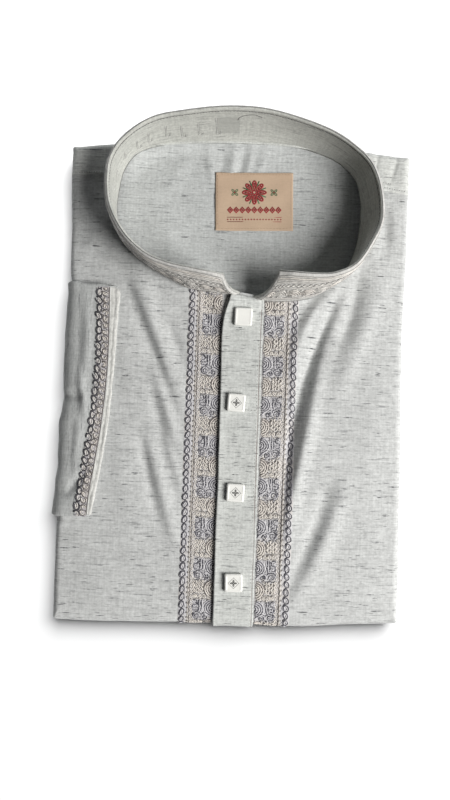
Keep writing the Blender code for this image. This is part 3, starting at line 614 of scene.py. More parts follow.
thread_lilac = thread("thread_lilac_grey", (0.048, 0.047, 0.064), (0.125, 0.120, 0.148), 1)
thread_blush = thread("thread_blush", (0.56, 0.505, 0.470), (0.70, 0.66, 0.61), 2)
thread_cream = thread("thread_cream", (0.72, 0.69, 0.63), (0.62, 0.575, 0.53), 3)
thread_brown = thread("thread_grey_brown", (0.100, 0.088, 0.082), (0.215, 0.192, 0.182), 4)
thread_pale = thread("thread_pale", (0.68, 0.675, 0.685), (0.57, 0.56, 0.58), 5)
thread_ink = thread("thread_ink", (0.024, 0.023, 0.031), (0.075, 0.070, 0.084), 8)
thread_taupe = thread("thread_taupe", (0.170, 0.162, 0.155), (0.320, 0.305, 0.290), 9)
thread_ivory = thread("thread_ivory", (0.66, 0.645, 0.61), (0.54, 0.52, 0.49), 10)
stitch_rose = thread("stitch_rose", (0.235, 0.190, 0.180), (0.320, 0.280, 0.265), 11, 0.7)
stitch_light = thread("stitch_light", (0.54, 0.55, 0.52), (0.43, 0.43, 0.41), 6, 0.65)
stitch_grey = thread("stitch_grey", (0.085, 0.083, 0.080), (0.150, 0.145, 0.140), 7, 0.7)
ground = stitched_ground("embroidery_ground", (0.575, 0.555, 0.542), (0.535, 0.532, 0.548), 28.4, 16.8)
ground_cuff = stitched_ground("cuff_ground", (0.52, 0.485, 0.480), (0.43, 0.420, 0.440), 0, 0, 9)


# -------------------------------------------------------------- cloth pieces
def front_point(u, v, off=0.0):
    """Place and normal of the front at cut coordinates: on past the foot
    fold, v runs on round it."""
    u, v, off = np.broadcast_arrays(np.asarray(u, float), np.asarray(v, float), np.asarray(off, float))
    start = read(ENDS, 1, u) + FOOT_R
    y = np.maximum(v, start)
    z = front_top(u, y)
    e = 0.4
    gx = (front_top(u + e, y) - front_top(u - e, y)) / (2 * e)
    gy = (front_top(u, y + e) - front_top(u, y - e)) / (2 * e)
    n = np.stack([-gx, -gy, np.ones_like(gx)], -1)
    n /= np.linalg.norm(n, axis=-1, keepdims=True)
    flat = np.stack([u, y, z], -1) + off[..., None] * n
    a = np.clip((start - v) / FOOT_R, 0, 2.2)
    round_n = np.stack([np.zeros_like(a), -np.sin(a), np.cos(a)], -1)
    round_p = np.stack([u, start, z - FOOT_R], -1) + (FOOT_R + off)[..., None] * round_n
    past = (v < start)[..., None]
    return np.where(past, round_p, flat), np.where(past, round_n, n)


def nearest_on(points, line):
    """Nearest places on a polyline to plan points."""
    best = np.full(len(points), 1e9)
    out = points.copy()
    for a, b in zip(line[:-1], line[1:]):
        d = b - a
        f = np.clip(((points - a) @ d) / max(d @ d, 1e-9), 0, 1)[:, None]
        q = a + f * d
        far = np.linalg.norm(points - q, axis=1)
        closer = far < best
        best = np.where(closer, far, best)
        out[closer] = q[closer]
    return out, best


def panel(name, low, high, step, rims, material, offset, hole, height, edge=None):
    """A sheet over the folded body between two lines across it. rims says
    which edges it turns round: foot, sides, top."""
    nx, ny = int(232 / step), max(int(abs(high(0.0) - low(0.0)) / step), 8)
    A, B = np.meshgrid(np.linspace(0, 1, nx + 1), np.linspace(0, 1, ny + 1))
    X, Y = np.zeros_like(A), np.zeros_like(A)
    for _ in range(6):
        left, right = read(SIDES, 1, Y) + FOLD_R, read(SIDES, 2, Y) - FOLD_R
        X = left + (right - left) * A
        Y = low(X) + (high(X) - low(X)) * B
    verts = [np.stack([X, Y, height(X, Y) + offset], -1).reshape(-1, 3)]
    uv = [np.stack([X, Y], -1).reshape(-1, 2)]
    index = np.arange(X.size).reshape(X.shape)
    top = quads(index)
    cx, cy = X.reshape(-1)[top].mean(1), Y.reshape(-1)[top].mean(1)
    gone = inside(cx, cy, hole)
    kept, lost = top[~gone], top[gone]
    border = np.intersect1d(np.unique(kept), np.unique(lost))
    if len(border):
        moved, far = nearest_on(uv[0][border], np.vstack([hole, hole[:1]]))
        near = far < 2.2 * step
        border, moved = border[near], moved[near]
        uv[0][border] = moved
        verts[0][border] = np.stack([moved[:, 0], moved[:, 1], height(moved[:, 0], moved[:, 1]) + offset], -1)
    faces = [kept]
    # Edges that the sheet turns round, in order.
    R, C = ny, nx
    path = []
    if "foot" in rims:
        path = [(r, 0) for r in range(R, 0, -1)] + [(0, c) for c in range(C)] + [(r, C) for r in range(R + 1)]
        corners = {(0, 0), (0, C)}
    else:
        path = [(r, C) for r in range(R)] + [(R, c) for c in range(C, 0, -1)] + [(r, 0) for r in range(R, -1, -1)]
        corners = {(R, C), (R, 0)}
    stations = []
    for k, (r, c) in enumerate(path):
        here = np.array([X[r, c], Y[r, c]])
        b, a = path[max(k - 1, 0)], path[min(k + 1, len(path) - 1)]
        d1 = here - (X[b], Y[b])
        d2 = (X[a], Y[a]) - here
        if k == 0:
            d1 = d2
        if k == len(path) - 1:
            d2 = d1
        w1, w2 = math.atan2(-d1[0], d1[1]), math.atan2(-d2[0], d2[1])
        while w2 < w1 - PI:
            w2 += 2 * PI
        while w2 > w1 + PI:
            w2 -= 2 * PI
        ends = [0.0, 0.0]
        if "foot" in rims:
            ends = [float(b[0] == 0 and r == 0 and k > 0), float(a[0] == 0 and r == 0)]
        if (r, c) in corners:
            near, far = (FOLD_R + (FOOT_R - FOLD_R) * e for e in ends)
            for j in range(13):
                f = j / 12
                ca, cb = near * math.cos(f * PI / 2) ** 0.35, far * math.sin(f * PI / 2) ** 0.35
                lean = (ca * math.cos(w1) + cb * math.cos(w2), ca * math.sin(w1) + cb * math.sin(w2))
                stations.append((index[r, c], w1 + (w2 - w1) * f, ends[0] + (ends[1] - ends[0]) * float(soft(f)), lean))
        else:
            w, reach = (w1 + w2) / 2, FOLD_R + (FOOT_R - FOLD_R) * ends[1]
            stations.append((index[r, c], w, ends[1], (reach * math.cos(w), reach * math.sin(w))))
    ids = np.array([s[0] for s in stations])
    way = np.array([s[1] for s in stations])
    foot = np.array([s[2] for s in stations])
    lean = np.array([s[3] for s in stations])
    # The stations run clockwise or anticlockwise: point each way outwards.
    middle = np.array([5.0, 10.0])
    base = verts[0][ids]
    if ((base[:, 0] - middle[0]) * np.cos(way) + (base[:, 1] - middle[1]) * np.sin(way)).sum() < 0:
        way, lean = way + PI, -lean
    last = np.radians(150.0 + (125.0 - 150.0) * foot)
    radius = FOLD_R + (FOOT_R - FOLD_R) * foot
    steps = 11
    count = len(verts[0])
    rows = [ids]
    for j in range(1, steps + 1):
        turn = last * j / steps
        run = np.cumsum(np.concatenate([[0], np.linalg.norm(np.diff(base[:, :2], axis=0), axis=1)]))
        ripple = 0.28 * wander(run / 17, turn * 1.3, 7) * np.sin(turn)
        z = base[:, 2] - offset - radius + (radius + offset) * np.cos(turn)
        side_x = base[:, 0] + lean[:, 0] * np.sin(turn) + ripple * np.cos(way)
        side_y = base[:, 1] + lean[:, 1] * np.sin(turn) + ripple * np.sin(way)
        verts.append(np.stack([side_x, side_y, z], -1))
        s = radius * turn
        uv.append(np.stack([base[:, 0] + s * np.cos(way), base[:, 1] + s * np.sin(way)], -1))
        rows.append(count + np.arange(len(ids)))
        count += len(ids)
    net = np.stack(rows)
    faces.append(quads(net)[:, ::-1])
    verts, uv = np.concatenate(verts), np.concatenate(uv)
    return verts, uv, faces, index, (X, Y)


# The neck's hole in the front: its edge shows across the collar's notch.
NOTCH_HOLE = np.vstack([neck_outline(-0.7), [(23.0, 73.0), (17.0, 73.5), (11.5, 74.4), (8.8, 74.8)]])


def make_front():
    low = lambda x: read(ENDS, 1, x) + FOOT_R
    high = lambda x: seam_line(x) + 2.5
    verts, uv, faces, _, _ = panel("front", low, high, 1.3, ("foot", "sides"), cloth, 0.0, NOTCH_HOLE, front_top)
    obj = build("front_cloth", verts, faces, cloth, uv)
    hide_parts("front_panel")
    return obj


def make_back():
    """The back brought over the shoulders, with its turned seam edge."""
    low = lambda x: seam_line(x) + 0.0 * x
    high = lambda x: read(ENDS, 2, x) - FOLD_R

    def height(x, y):
        past = np.clip((y - seam_line(x)) / 0.9, 0, 1)
        ridge = (0.25 + 0.40 * soft((x - 60) / 20)) * np.exp(-(((y - seam_line(x) - 0.9) / 0.8) ** 2))
        return front_top(x, y) + 0.05 + 0.75 * np.sqrt(np.clip(1 - (1 - past) ** 2, 0, 1)) + ridge

    verts, uv, faces, index, (X, Y) = panel("back", low, high, 1.1, ("sides", "top"), cloth_back, 0.0, neck_outline(-0.7), height)
    obj = build("back_cloth", verts, faces, cloth_back, uv)
    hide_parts("back_panel")
    return obj


def make_bowl():
    """The inside of the back, seen through the collar."""
    outline = neck_outline(0.0, 260)[2:-2]
    ring = neck_outline(1.0, 260)[2:-2] - outline
    ring /= np.linalg.norm(ring, axis=1, keepdims=True)
    y = outline[:, 1]
    reach = 3.2 * (1 - soft((y - 150) / 25)) + 10.0 * soft((148 - y) / 20)
    edge = outline + ring * reach[:, None]
    mx, my = 4.0, 128.0
    # The same edge at even turns round the middle.
    angle = np.arctan2(edge[:, 1] - my, edge[:, 0] - mx)
    far = np.hypot(edge[:, 0] - mx, edge[:, 1] - my)
    order = np.argsort(angle)
    even = np.linspace(-PI, PI, 260, endpoint=False)
    far = np.interp(even, angle[order], far[order], period=2 * PI)
    edge = np.stack([mx + far * np.cos(even), my + far * np.sin(even)], -1)
    curled = soft((edge[:, 1] - 150) / 25)
    shares = np.concatenate([np.linspace(0.02, 0.80, 34), np.linspace(0.815, 1.0, 22)])
    X = mx + (edge[None, :, 0] - mx) * shares[:, None]
    Y = my + (edge[None, :, 1] - my) * shares[:, None]
    rise = soft((shares[:, None] - 0.84) / 0.16) * curled[None, :]
    Z = NECK_FLOOR + rise * (front_top(edge[:, 0], edge[:, 1]) - 1.0 - NECK_FLOOR)[None, :]
    gathers = (
        (-19.0, 183.0, -16.0, 168.0, -14.0, 150.0, 0.9, 2.6, 3.0),
        (-8.0, 183.0, -7.0, 170.0, -9.0, 156.0, -0.7, 2.2, 2.4),
        (0.0, 184.0, 1.0, 170.0, -3.0, 148.0, 1.1, 2.2, 3.0),
        (8.0, 184.0, 7.0, 172.0, 4.0, 158.0, -0.8, 2.0, 2.2),
        (14.0, 184.0, 12.0, 170.0, 8.0, 150.0, 0.8, 2.4, 2.2),
        (24.0, 183.0, 22.0, 172.0, 18.0, 160.0, 0.7, 2.6, 3.4),
        (-62.0, 150.0, -48.0, 128.0, -36.0, 98.0, 0.8, 8.0, 6.0),
        (-72.0, 128.0, -60.0, 112.0, -40.0, 92.0, -0.7, 6.0, 6.0),
        (64.0, 160.0, 52.0, 136.0, 46.0, 104.0, 0.7, 8.0, 7.0),
        (-34.0, 172.0, -40.0, 158.0, -52.0, 146.0, 0.6, 5.0, 5.0),
        (-6.0, 84.9, 9.0, 84.0, 26.0, 81.0, -1.0, 0.9, 0.9),
        (-4.0, 80.5, 5.0, 79.6, 12.0, 78.4, 1.6, 2.4, 2.2),
    )
    for row in gathers:
        Z = Z + crease(X, Y, row)
    Z = Z + 0.25 * wander(X / 24, Y / 20, 31)
    sunk = shares[:, None] > 0.999
    Z = np.where(sunk & (curled[None, :] < 0.5), np.minimum(Z, NECK_FLOOR), Z)
    index = np.arange(X.size).reshape(X.shape)
    verts = np.stack([X, Y, Z], -1).reshape(-1, 3)
    centre = len(verts)
    verts = np.vstack([verts, [[mx, my, Z[0].mean()]]])
    faces = [quads(index, wrap=True)]
    fan = np.stack([np.full(260, centre), index[0], np.roll(index[0], -1)], -1)
    uv = verts[:, :2].copy()
    obj = build("back_inside_cloth", verts, [faces[0], fan], cloth_inside, uv)
    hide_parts("back_panel")
    return obj


def floor_height(x, y):
    """Height of the bowl's flat part, for what lies on it."""
    return NECK_FLOOR + 0.25 * wander(x / 24, y / 20, 31) + np.zeros_like(x)


def make_stack():
    """The hidden layers: rounded plies at the edges, flat underneath."""
    step = 1.7
    nx, ny = int(232 / step), int(330 / step)
    a, b = np.linspace(0, 1, nx + 1), np.linspace(0, 1, ny + 1)
    edge = [(x, 0.0) for x in a[:-1]] + [(1.0, y) for y in b[:-1]] + [(x, 1.0) for x in a[:0:-1]] + [(0.0, y) for y in b[:0:-1]]
    edge = np.array(edge)
    X, Y = plan(edge[:, 0], edge[:, 1])
    n = len(X)
    at_foot = np.abs(edge[:, 1]) < 1e-9
    corner = [i for i in range(n) if (edge[i, 0] in (0.0, 1.0)) and (edge[i, 1] in (0.0, 1.0))]
    px, py, way, foot = [], [], [], []
    for i in range(n):
        d1 = (X[i] - X[i - 1], Y[i] - Y[i - 1])
        d2 = (X[(i + 1) % n] - X[i], Y[(i + 1) % n] - Y[i])
        w1, w2 = math.atan2(-d1[0], d1[1]), math.atan2(-d2[0], d2[1])
        # Out is to the right of the anticlockwise way round.
        w1, w2 = math.atan2(-d1[0], d1[1]) , math.atan2(-d2[0], d2[1])
        while w2 < w1 - PI:
            w2 += 2 * PI
        while w2 > w1 + PI:
            w2 -= 2 * PI
        if i in corner:
            f1, f2 = float(at_foot[i - 1]), float(at_foot[(i + 1) % n])
            for j in range(9):
                f = j / 8
                px.append(X[i]); py.append(Y[i]); way.append(w1 + (w2 - w1) * f); foot.append(f1 + (f2 - f1) * float(soft(f)))
        else:
            px.append(X[i]); py.append(Y[i]); way.append((w1 + w2) / 2); foot.append(float(at_foot[i]))
    px, py, way, foot = map(np.array, (px, py, way, foot))
    way = way + PI
    if ((px - 5) * np.cos(way) + (py - 10) * np.sin(way)).sum() < 0:
        way = way + PI
    run = np.cumsum(np.concatenate([[0], np.hypot(np.diff(px), np.diff(py))]))
    lower = (front_top(px, py) - EDGE_HEIGHT) * 0.6
    # Each ply: middle height, half thickness and reach, at the sides, then at the foot.
    plies = (
        (9.15, 0.95, 3.0, 4.9, 0.55, 7.1),
        (7.25, 0.85, 4.3, 3.85, 0.5, 6.6),
        (5.55, 0.8, 3.5, 2.85, 0.5, 6.9),
        (3.9, 0.8, 2.6, 1.9, 0.45, 6.0),
        (1.45, 1.45, 3.9, 0.7, 0.7, 5.2),
    )
    rings = []

    def ring(out, z):
        rings.append(np.stack([px + out * np.cos(way), py + out * np.sin(way), z], -1))

    ring(np.full(len(px), -14.0), np.full(len(px), 9.7))
    ring(np.full(len(px), -1.0), 9.9 - 4.0 * foot)
    for k, (z0, h0, o0, z1, h1, o1) in enumerate(plies):
        z = (z0 + lower * (1 if k == 0 else 0.6 if k == 1 else 0.2)) * (1 - foot) + z1 * foot
        half = h0 * (1 - foot) + h1 * foot
        reach = o0 * (1 - foot) + o1 * foot
        if k < 4:
            z = z + (0.30 * wander(run / 38, 0.5 + k, 11) + 0.12 * wander(run / 9, k + 0.5, 12)) * (1 - 0.6 * foot)
            half = half * (1 + 0.15 * wander(run / 21, k + 0.5, 13))
        reach = reach + (0.55 * wander(run / 45, k + 0.5, 14) + 0.18 * wander(run / 8, k + 0.5, 15)) * (1 - 0.5 * foot)
        floor = reach - 2.3
        for angle in np.radians([84, 62, 36, 12, -12, -36, -62, -84]):
            out = floor + 2.3 * np.cos(angle) ** 0.7
            zz = z + half * np.sin(angle)
            ring(out, np.maximum(zz, 0.0) if k < 4 else np.clip(zz, 0.0, None))
        if k < 4:
            ring(floor - 0.9, z - half * 1.02)
    ring(np.full(len(px), 1.0), np.zeros(len(px)))
    m = len(px)
    verts = np.concatenate(rings)
    index = np.arange(len(verts)).reshape(len(rings), m)
    centre_top, centre_low = len(verts), len(verts) + 1
    verts = np.vstack([verts, [[5, 10, 9.7]], [[5, 10, 0.0]]])
    uv = np.concatenate([np.stack([run, r[:, 2] * 1.6 + 37 * (i // 9)], -1) for i, r in enumerate(rings)])
    uv = np.vstack([uv, [[0, 0]], [[0, 0]]])
    top_fan = np.stack([np.full(m, centre_top), index[0], np.roll(index[0], -1)], -1)
    low_fan = np.stack([np.full(m, centre_low), np.roll(index[-1], -1), index[-1]], -1)
    obj = build("stack_cloth", verts, [quads(index, wrap=True)[:, ::-1], top_fan[:, ::-1], low_fan[:, ::-1]], cloth_stack, uv)
    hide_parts("folded_layers")
    return obj


# ------------------------------------------------------------------- collar
END_T = np.array([0.0002, 0.0005, 0.0009, 0.0014, 0.0019, 0.0030, 0.0037])
BAND_T = np.unique(np.concatenate([np.linspace(0, 1, 420), END_T, 1 - END_T]))


def band_frame(t):
    sx, sy, ex, ey, ez = band_line(t)
    ax, ay = band_line(np.maximum(t - 0.01, 0))[:2]
    bx, by = band_line(np.minimum(t + 0.01, 1))[:2]
    dx, dy = bx - ax, by - ay
    far = np.hypot(dx, dy)
    ox, oy = -dy / far, dx / far
    low = front_top(sx + 0.7 * ox, sy + 0.7 * oy) - 0.3
    ez = ez + 0.45 * wander(t * 17, 0.5, 41) + 0.2 * wander(t * 47, 0.5, 42)
    sway = 0.5 * wander(t * 13, 0.5, 43)
    return sx, sy, ex + ox * sway, ey + oy * sway, ez, ox, oy, low


def band_at(t, f, off):
    """Point of the collar band: f from its seam to its top edge, off out from
    its middle."""
    t, f, off = np.broadcast_arrays(np.asarray(t, float), np.asarray(f, float), np.asarray(off, float))
    sx, sy, ex, ey, ez, ox, oy, low = band_frame(t)
    g = np.clip(f, 0, 1)
    swell = 1.1 * 4 * g * (1 - g) + 0.35 * wander(t * 22, f * 3, 44) * np.sin(PI * g)
    # The free ends are thicker, where both plies turn in.
    off = off * (1 + 0.45 * np.exp(-((t / 0.0085) ** 2)) + 0.35 * np.exp(-(((1 - t) / 0.006) ** 2)))
    near_end = np.minimum(np.clip(t / 0.0046, 0, 1), np.clip((1 - t) / 0.0036, 0, 1))
    off = off * np.sqrt(np.clip(1 - (1 - near_end) ** 2, 0.0025, 1))
    # The two free ends at the notch bow outwards.
    bow_a = np.exp(-((t / 0.018) ** 2)) * np.sin(PI * g)
    bow_b = np.exp(-(((1 - t) / 0.022) ** 2)) * np.sin(PI * g**0.8)
    return np.stack([
        sx + (ex - sx) * f + ox * (off + swell) - 1.6 * bow_a + 2.2 * bow_b,
        sy + (ey - sy) * f + oy * (off + swell) - 1.5 * bow_a - 2.4 * bow_b,
        low + (ez - low) * f,
    ], -1)


def band_height(t):
    sx, sy, ex, ey, ez, _, _, low = band_frame(np.asarray(t, float))
    return np.sqrt((ex - sx) ** 2 + (ey - sy) ** 2 + (ez - low) ** 2)


RUN_T = np.linspace(0, 1, 800)
RUN_S = np.concatenate([[0], np.cumsum(np.hypot(*(np.diff(c) for c in band_line(RUN_T)[:2])))])


def band_length(t):
    """Length round the band's seam up to t, in millimetres."""
    return np.interp(t, RUN_T, RUN_S)


def band_share(s):
    """t at a length round the band's seam."""
    return np.interp(s, RUN_S, RUN_T)


def band_face(s, down, off):
    """Point and outward normal of the band's outer face, s round it and down
    from its top edge, both in millimetres."""
    s, down = np.asarray(s, float), np.asarray(down, float)
    t = band_share(s)
    f = 1 - down / band_height(t)
    p = band_at(t, f, 1.4 + off)
    a, b = band_at(np.clip(t + 0.002, 0, 1), f, 1.4), band_at(np.clip(t - 0.002, 0, 1), f, 1.4)
    c, d = band_at(t, f + 0.02, 1.4), band_at(t, f - 0.02, 1.4)
    n = np.cross(a - b, c - d)
    n /= np.linalg.norm(n, axis=-1, keepdims=True)
    ox, oy = band_frame(t)[5:7]
    n *= np.sign(n[..., 0] * ox + n[..., 1] * oy)[..., None]
    return p, n


def make_ply(name, side, material, node):
    """One ply of the band, with the turned top edge that both share."""
    H = band_height(BAND_T)
    downs = [0.0, 0.1, 0.28, 0.5, 0.75, 1.05, 1.5, 2.0, 2.4, 2.7, 2.95, 3.2, 3.5, 4.0, 5.0]
    levels = [np.full_like(BAND_T, d) for d in downs]
    levels += [5.0 + (H + (1.2 if side < 0 else 0.0) - 5.0) * k / 13 for k in range(1, 14)]
    rows = []

    def round_off(d):
        return 0.06 + 1.32 * math.sqrt(1 - min(max((1.3 - d) / 1.3, 0), 1) ** 2)

    for level in levels:
        d = float(level[0])
        o = round_off(d) if d < 1.5 else 1.38
        o = np.full_like(BAND_T, o) - 0.24 * np.exp(-(((level - 2.95) / 0.4) ** 2))
        rows.append((level, side * o))
    inner = [(level, np.full_like(BAND_T, side * 0.06)) for level in levels[::4]]
    loop = rows + inner[::-1]
    verts, uv = [], []
    run = band_length(BAND_T)
    for level, o in loop:
        verts.append(band_at(BAND_T, 1 - level / H, o))
        uv.append(np.stack([run, -level + (0 if o is not None else 0)], -1))
    index = np.arange(len(loop) * len(BAND_T)).reshape(len(loop), len(BAND_T)).T
    faces = [quads(index, wrap=True)[:, :: (1 if side > 0 else -1)]]
    ends = []
    for row, turn in ((index[0], 1), (index[-1], -1)):
        outer_ids, inner_ids = row[: len(rows)], row[len(rows):][::-1]
        marks = np.round(np.linspace(0, len(inner_ids) - 1, len(rows))).astype(int)
        for k in range(len(rows) - 1):
            ends.append([outer_ids[k], outer_ids[k + 1], inner_ids[marks[k + 1]], inner_ids[marks[k]]][::turn * (1 if side > 0 else -1)])
    faces.append(np.array(ends))
    obj = build(name, np.concatenate(verts), faces, material, np.concatenate(uv))
    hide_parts(node)
    return obj


# ------------------------------------------------------------------ placket
PLACKET_SIDE = (
    (-170.0, -3.4), (-60.0, -3.3), (-22.0, -3.2), (20.0, -3.7), (40.0, -3.8),
    (54.0, -3.2), (62.0, -1.8), (68.5, 0.2), (73.6, 1.5),
)


def placket_top_line(x):
    table = ((-4.0, 73.9), (1.4, 73.6), (8.0, 72.8), (14.0, 71.8), (18.8, 71.1), (24.6, 71.4))
    return read(table, 1, x)


def make_placket(name, node, low, high, narrow, lift):
    nx, ny = 34, 200
    foot_v = -158.0 - 9.0
    f = np.linspace(0, 1, nx + 1)
    # Points crowd at the two edges, where the cloth rolls under.
    f = 0.5 - 0.5 * np.cos(PI * f) * (0.35 + 0.65 * np.abs(np.cos(PI * f)) ** 0.1)
    F, B = np.meshgrid(f, np.linspace(0, 1, ny + 1))
    right = PLACKET_RIGHT - narrow
    U, V = PLACKET_LEFT + (right - PLACKET_LEFT) * F, np.zeros_like(F)
    for _ in range(4):
        top = placket_top_line(U) - narrow * 1.4
        V = foot_v + (top - foot_v) * B
        left = read(PLACKET_SIDE, 1, V) + narrow
        U = left + (right - left) * F
    wobble = 0.30 * wander(B * 13, 0.5, 51)
    edge_left = np.clip(1 - (U - left) / 6, 0, 1)
    edge_right = np.clip(1 - (right - U) / 6, 0, 1)
    U2 = U + wobble * edge_left + 0.22 * wander(B * 15, 0.5, 52) * edge_right
    # Rolled edges: the outer face drops at the sides and at the top.
    side = np.minimum(U - left, right - U)
    roll = np.sqrt(np.clip(1 - (1 - np.clip(side / 0.8, 0, 1)) ** 2, 0, 1))
    end = np.sqrt(np.clip(1 - (1 - np.clip((top - V) / 0.8, 0, 1)) ** 2, 0, 1))
    roll = np.minimum(roll, end)
    thick = high - low
    stitch = -0.42 * np.exp(-(((right - U) - 1.5) / 0.55) ** 2)
    puckers = 0.10 * wander(U / 5, V / 4.5, 53) * np.clip(edge_right * 1.6, 0, 1) + 0.14 * wander(U / 14, V / 19, 54)
    raised = lift * edge_left**1.5 * (0.55 + 0.45 * wander(V / 30, 0.5, 55)) + 1.5 * lift * np.exp(-(((U - left) / 7) ** 2) - (((top - V) / 12) ** 2))
    outer = low + thick * (0.25 + 0.75 * roll) + (stitch + puckers) * roll * (lift > 0) + raised
    under = low + raised
    verts, uv = [], []
    for offset in (outer, under):
        p, _ = front_point(U2, V, offset)
        verts.append(p.reshape(-1, 3))
        uv.append(np.stack([U2, V], -1).reshape(-1, 2))
    index = np.arange(U.size).reshape(U.shape)
    faces = [quads(index), quads(index + U.size)[:, ::-1]]
    rim = np.concatenate([index[0, :-1], index[:-1, -1], index[-1, :0:-1], index[:0:-1, 0]])
    wall = np.stack([rim, rim + U.size, np.roll(rim, -1) + U.size, np.roll(rim, -1)], -1)
    faces.append(wall)
    obj = build(name, np.concatenate(verts), faces, cloth_placket, np.concatenate(uv))
    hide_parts(node)
    return obj


# ------------------------------------------------------------------- sleeve
SLEEVE_CREASES = (
    (-117.0, 4.0, -107.0, -1.0, -98.0, -3.0, -3.4, 3.2, 4.2),
    (-102.0, 20.0, -100.5, 2.0, -94.5, -18.0, 2.1, 3.6, 3.0),
    (-95.0, -50.0, -101.0, -66.0, -119.0, -76.0, -2.3, 3.6, 3.4),
    (-113.0, -10.0, -108.0, -14.0, -101.0, -22.0, 1.0, 3.0, 4.0),
    (-106.0, 62.0, -103.0, 34.0, -105.0, 12.0, -1.4, 4.5, 4.5),
    (-99.0, 70.0, -96.0, 40.0, -98.0, 12.0, 1.1, 4.0, 4.0),
    (-107.0, -14.0, -108.0, -36.0, -106.0, -60.0, -1.4, 5.0, 4.0),
    (-99.0, -6.0, -102.0, -30.0, -104.0, -52.0, 1.3, 3.6, 4.0),
    (-94.0, 66.0, -92.5, 30.0, -95.0, -10.0, -0.5, 2.6, 3.0),
)


def sleeve_top_y(x):
    return SLEEVE_TOP + 3.4 * (1 - soft((x + 116) / 17)) - 1.9 * soft((x + 90) / 9) - 0.3 * np.sin((x + 110) / 7)


def sleeve_foot_y(x):
    return SLEEVE_FOOT + 0.3 * np.sin((x + 100) / 6)


def sleeve_height(x, y):
    """The sleeve's upper face."""
    z = stack_top(x, y) + 4.35
    for row in SLEEVE_CREASES:
        z = z + crease(x, y, row)
    return z + 0.16 * wander(x / 9, y / 14, 61)


def sleeve_point(u, v, off=0.0):
    """Place and normal on the sleeve's upper face at cut coordinates; past
    the side fold u runs on round it."""
    u, v, off = np.broadcast_arrays(np.asarray(u, float), np.asarray(v, float), np.asarray(off, float))
    start = read(SIDES, 1, v) + FOLD_R
    x = np.maximum(u, start)
    z = sleeve_height(x, v)
    e = 0.4
    gx = (sleeve_height(x + e, v) - sleeve_height(x - e, v)) / (2 * e)
    gy = (sleeve_height(x, v + e) - sleeve_height(x, v - e)) / (2 * e)
    n = np.stack([-gx, -gy, np.ones_like(gx)], -1)
    n /= np.linalg.norm(n, axis=-1, keepdims=True)
    radius = FOLD_R + 4.35
    a = np.clip((start - u) / radius, 0, 2.7)
    round_n = np.stack([-np.sin(a), np.zeros_like(a), np.cos(a)], -1)
    flat = np.stack([x, v, z], -1) + off[..., None] * n
    rounded = np.stack([start, v, z - radius], -1) + (radius + off)[..., None] * round_n
    past = (u < start)[..., None]
    return np.where(past, rounded, flat), np.where(past, round_n, n)


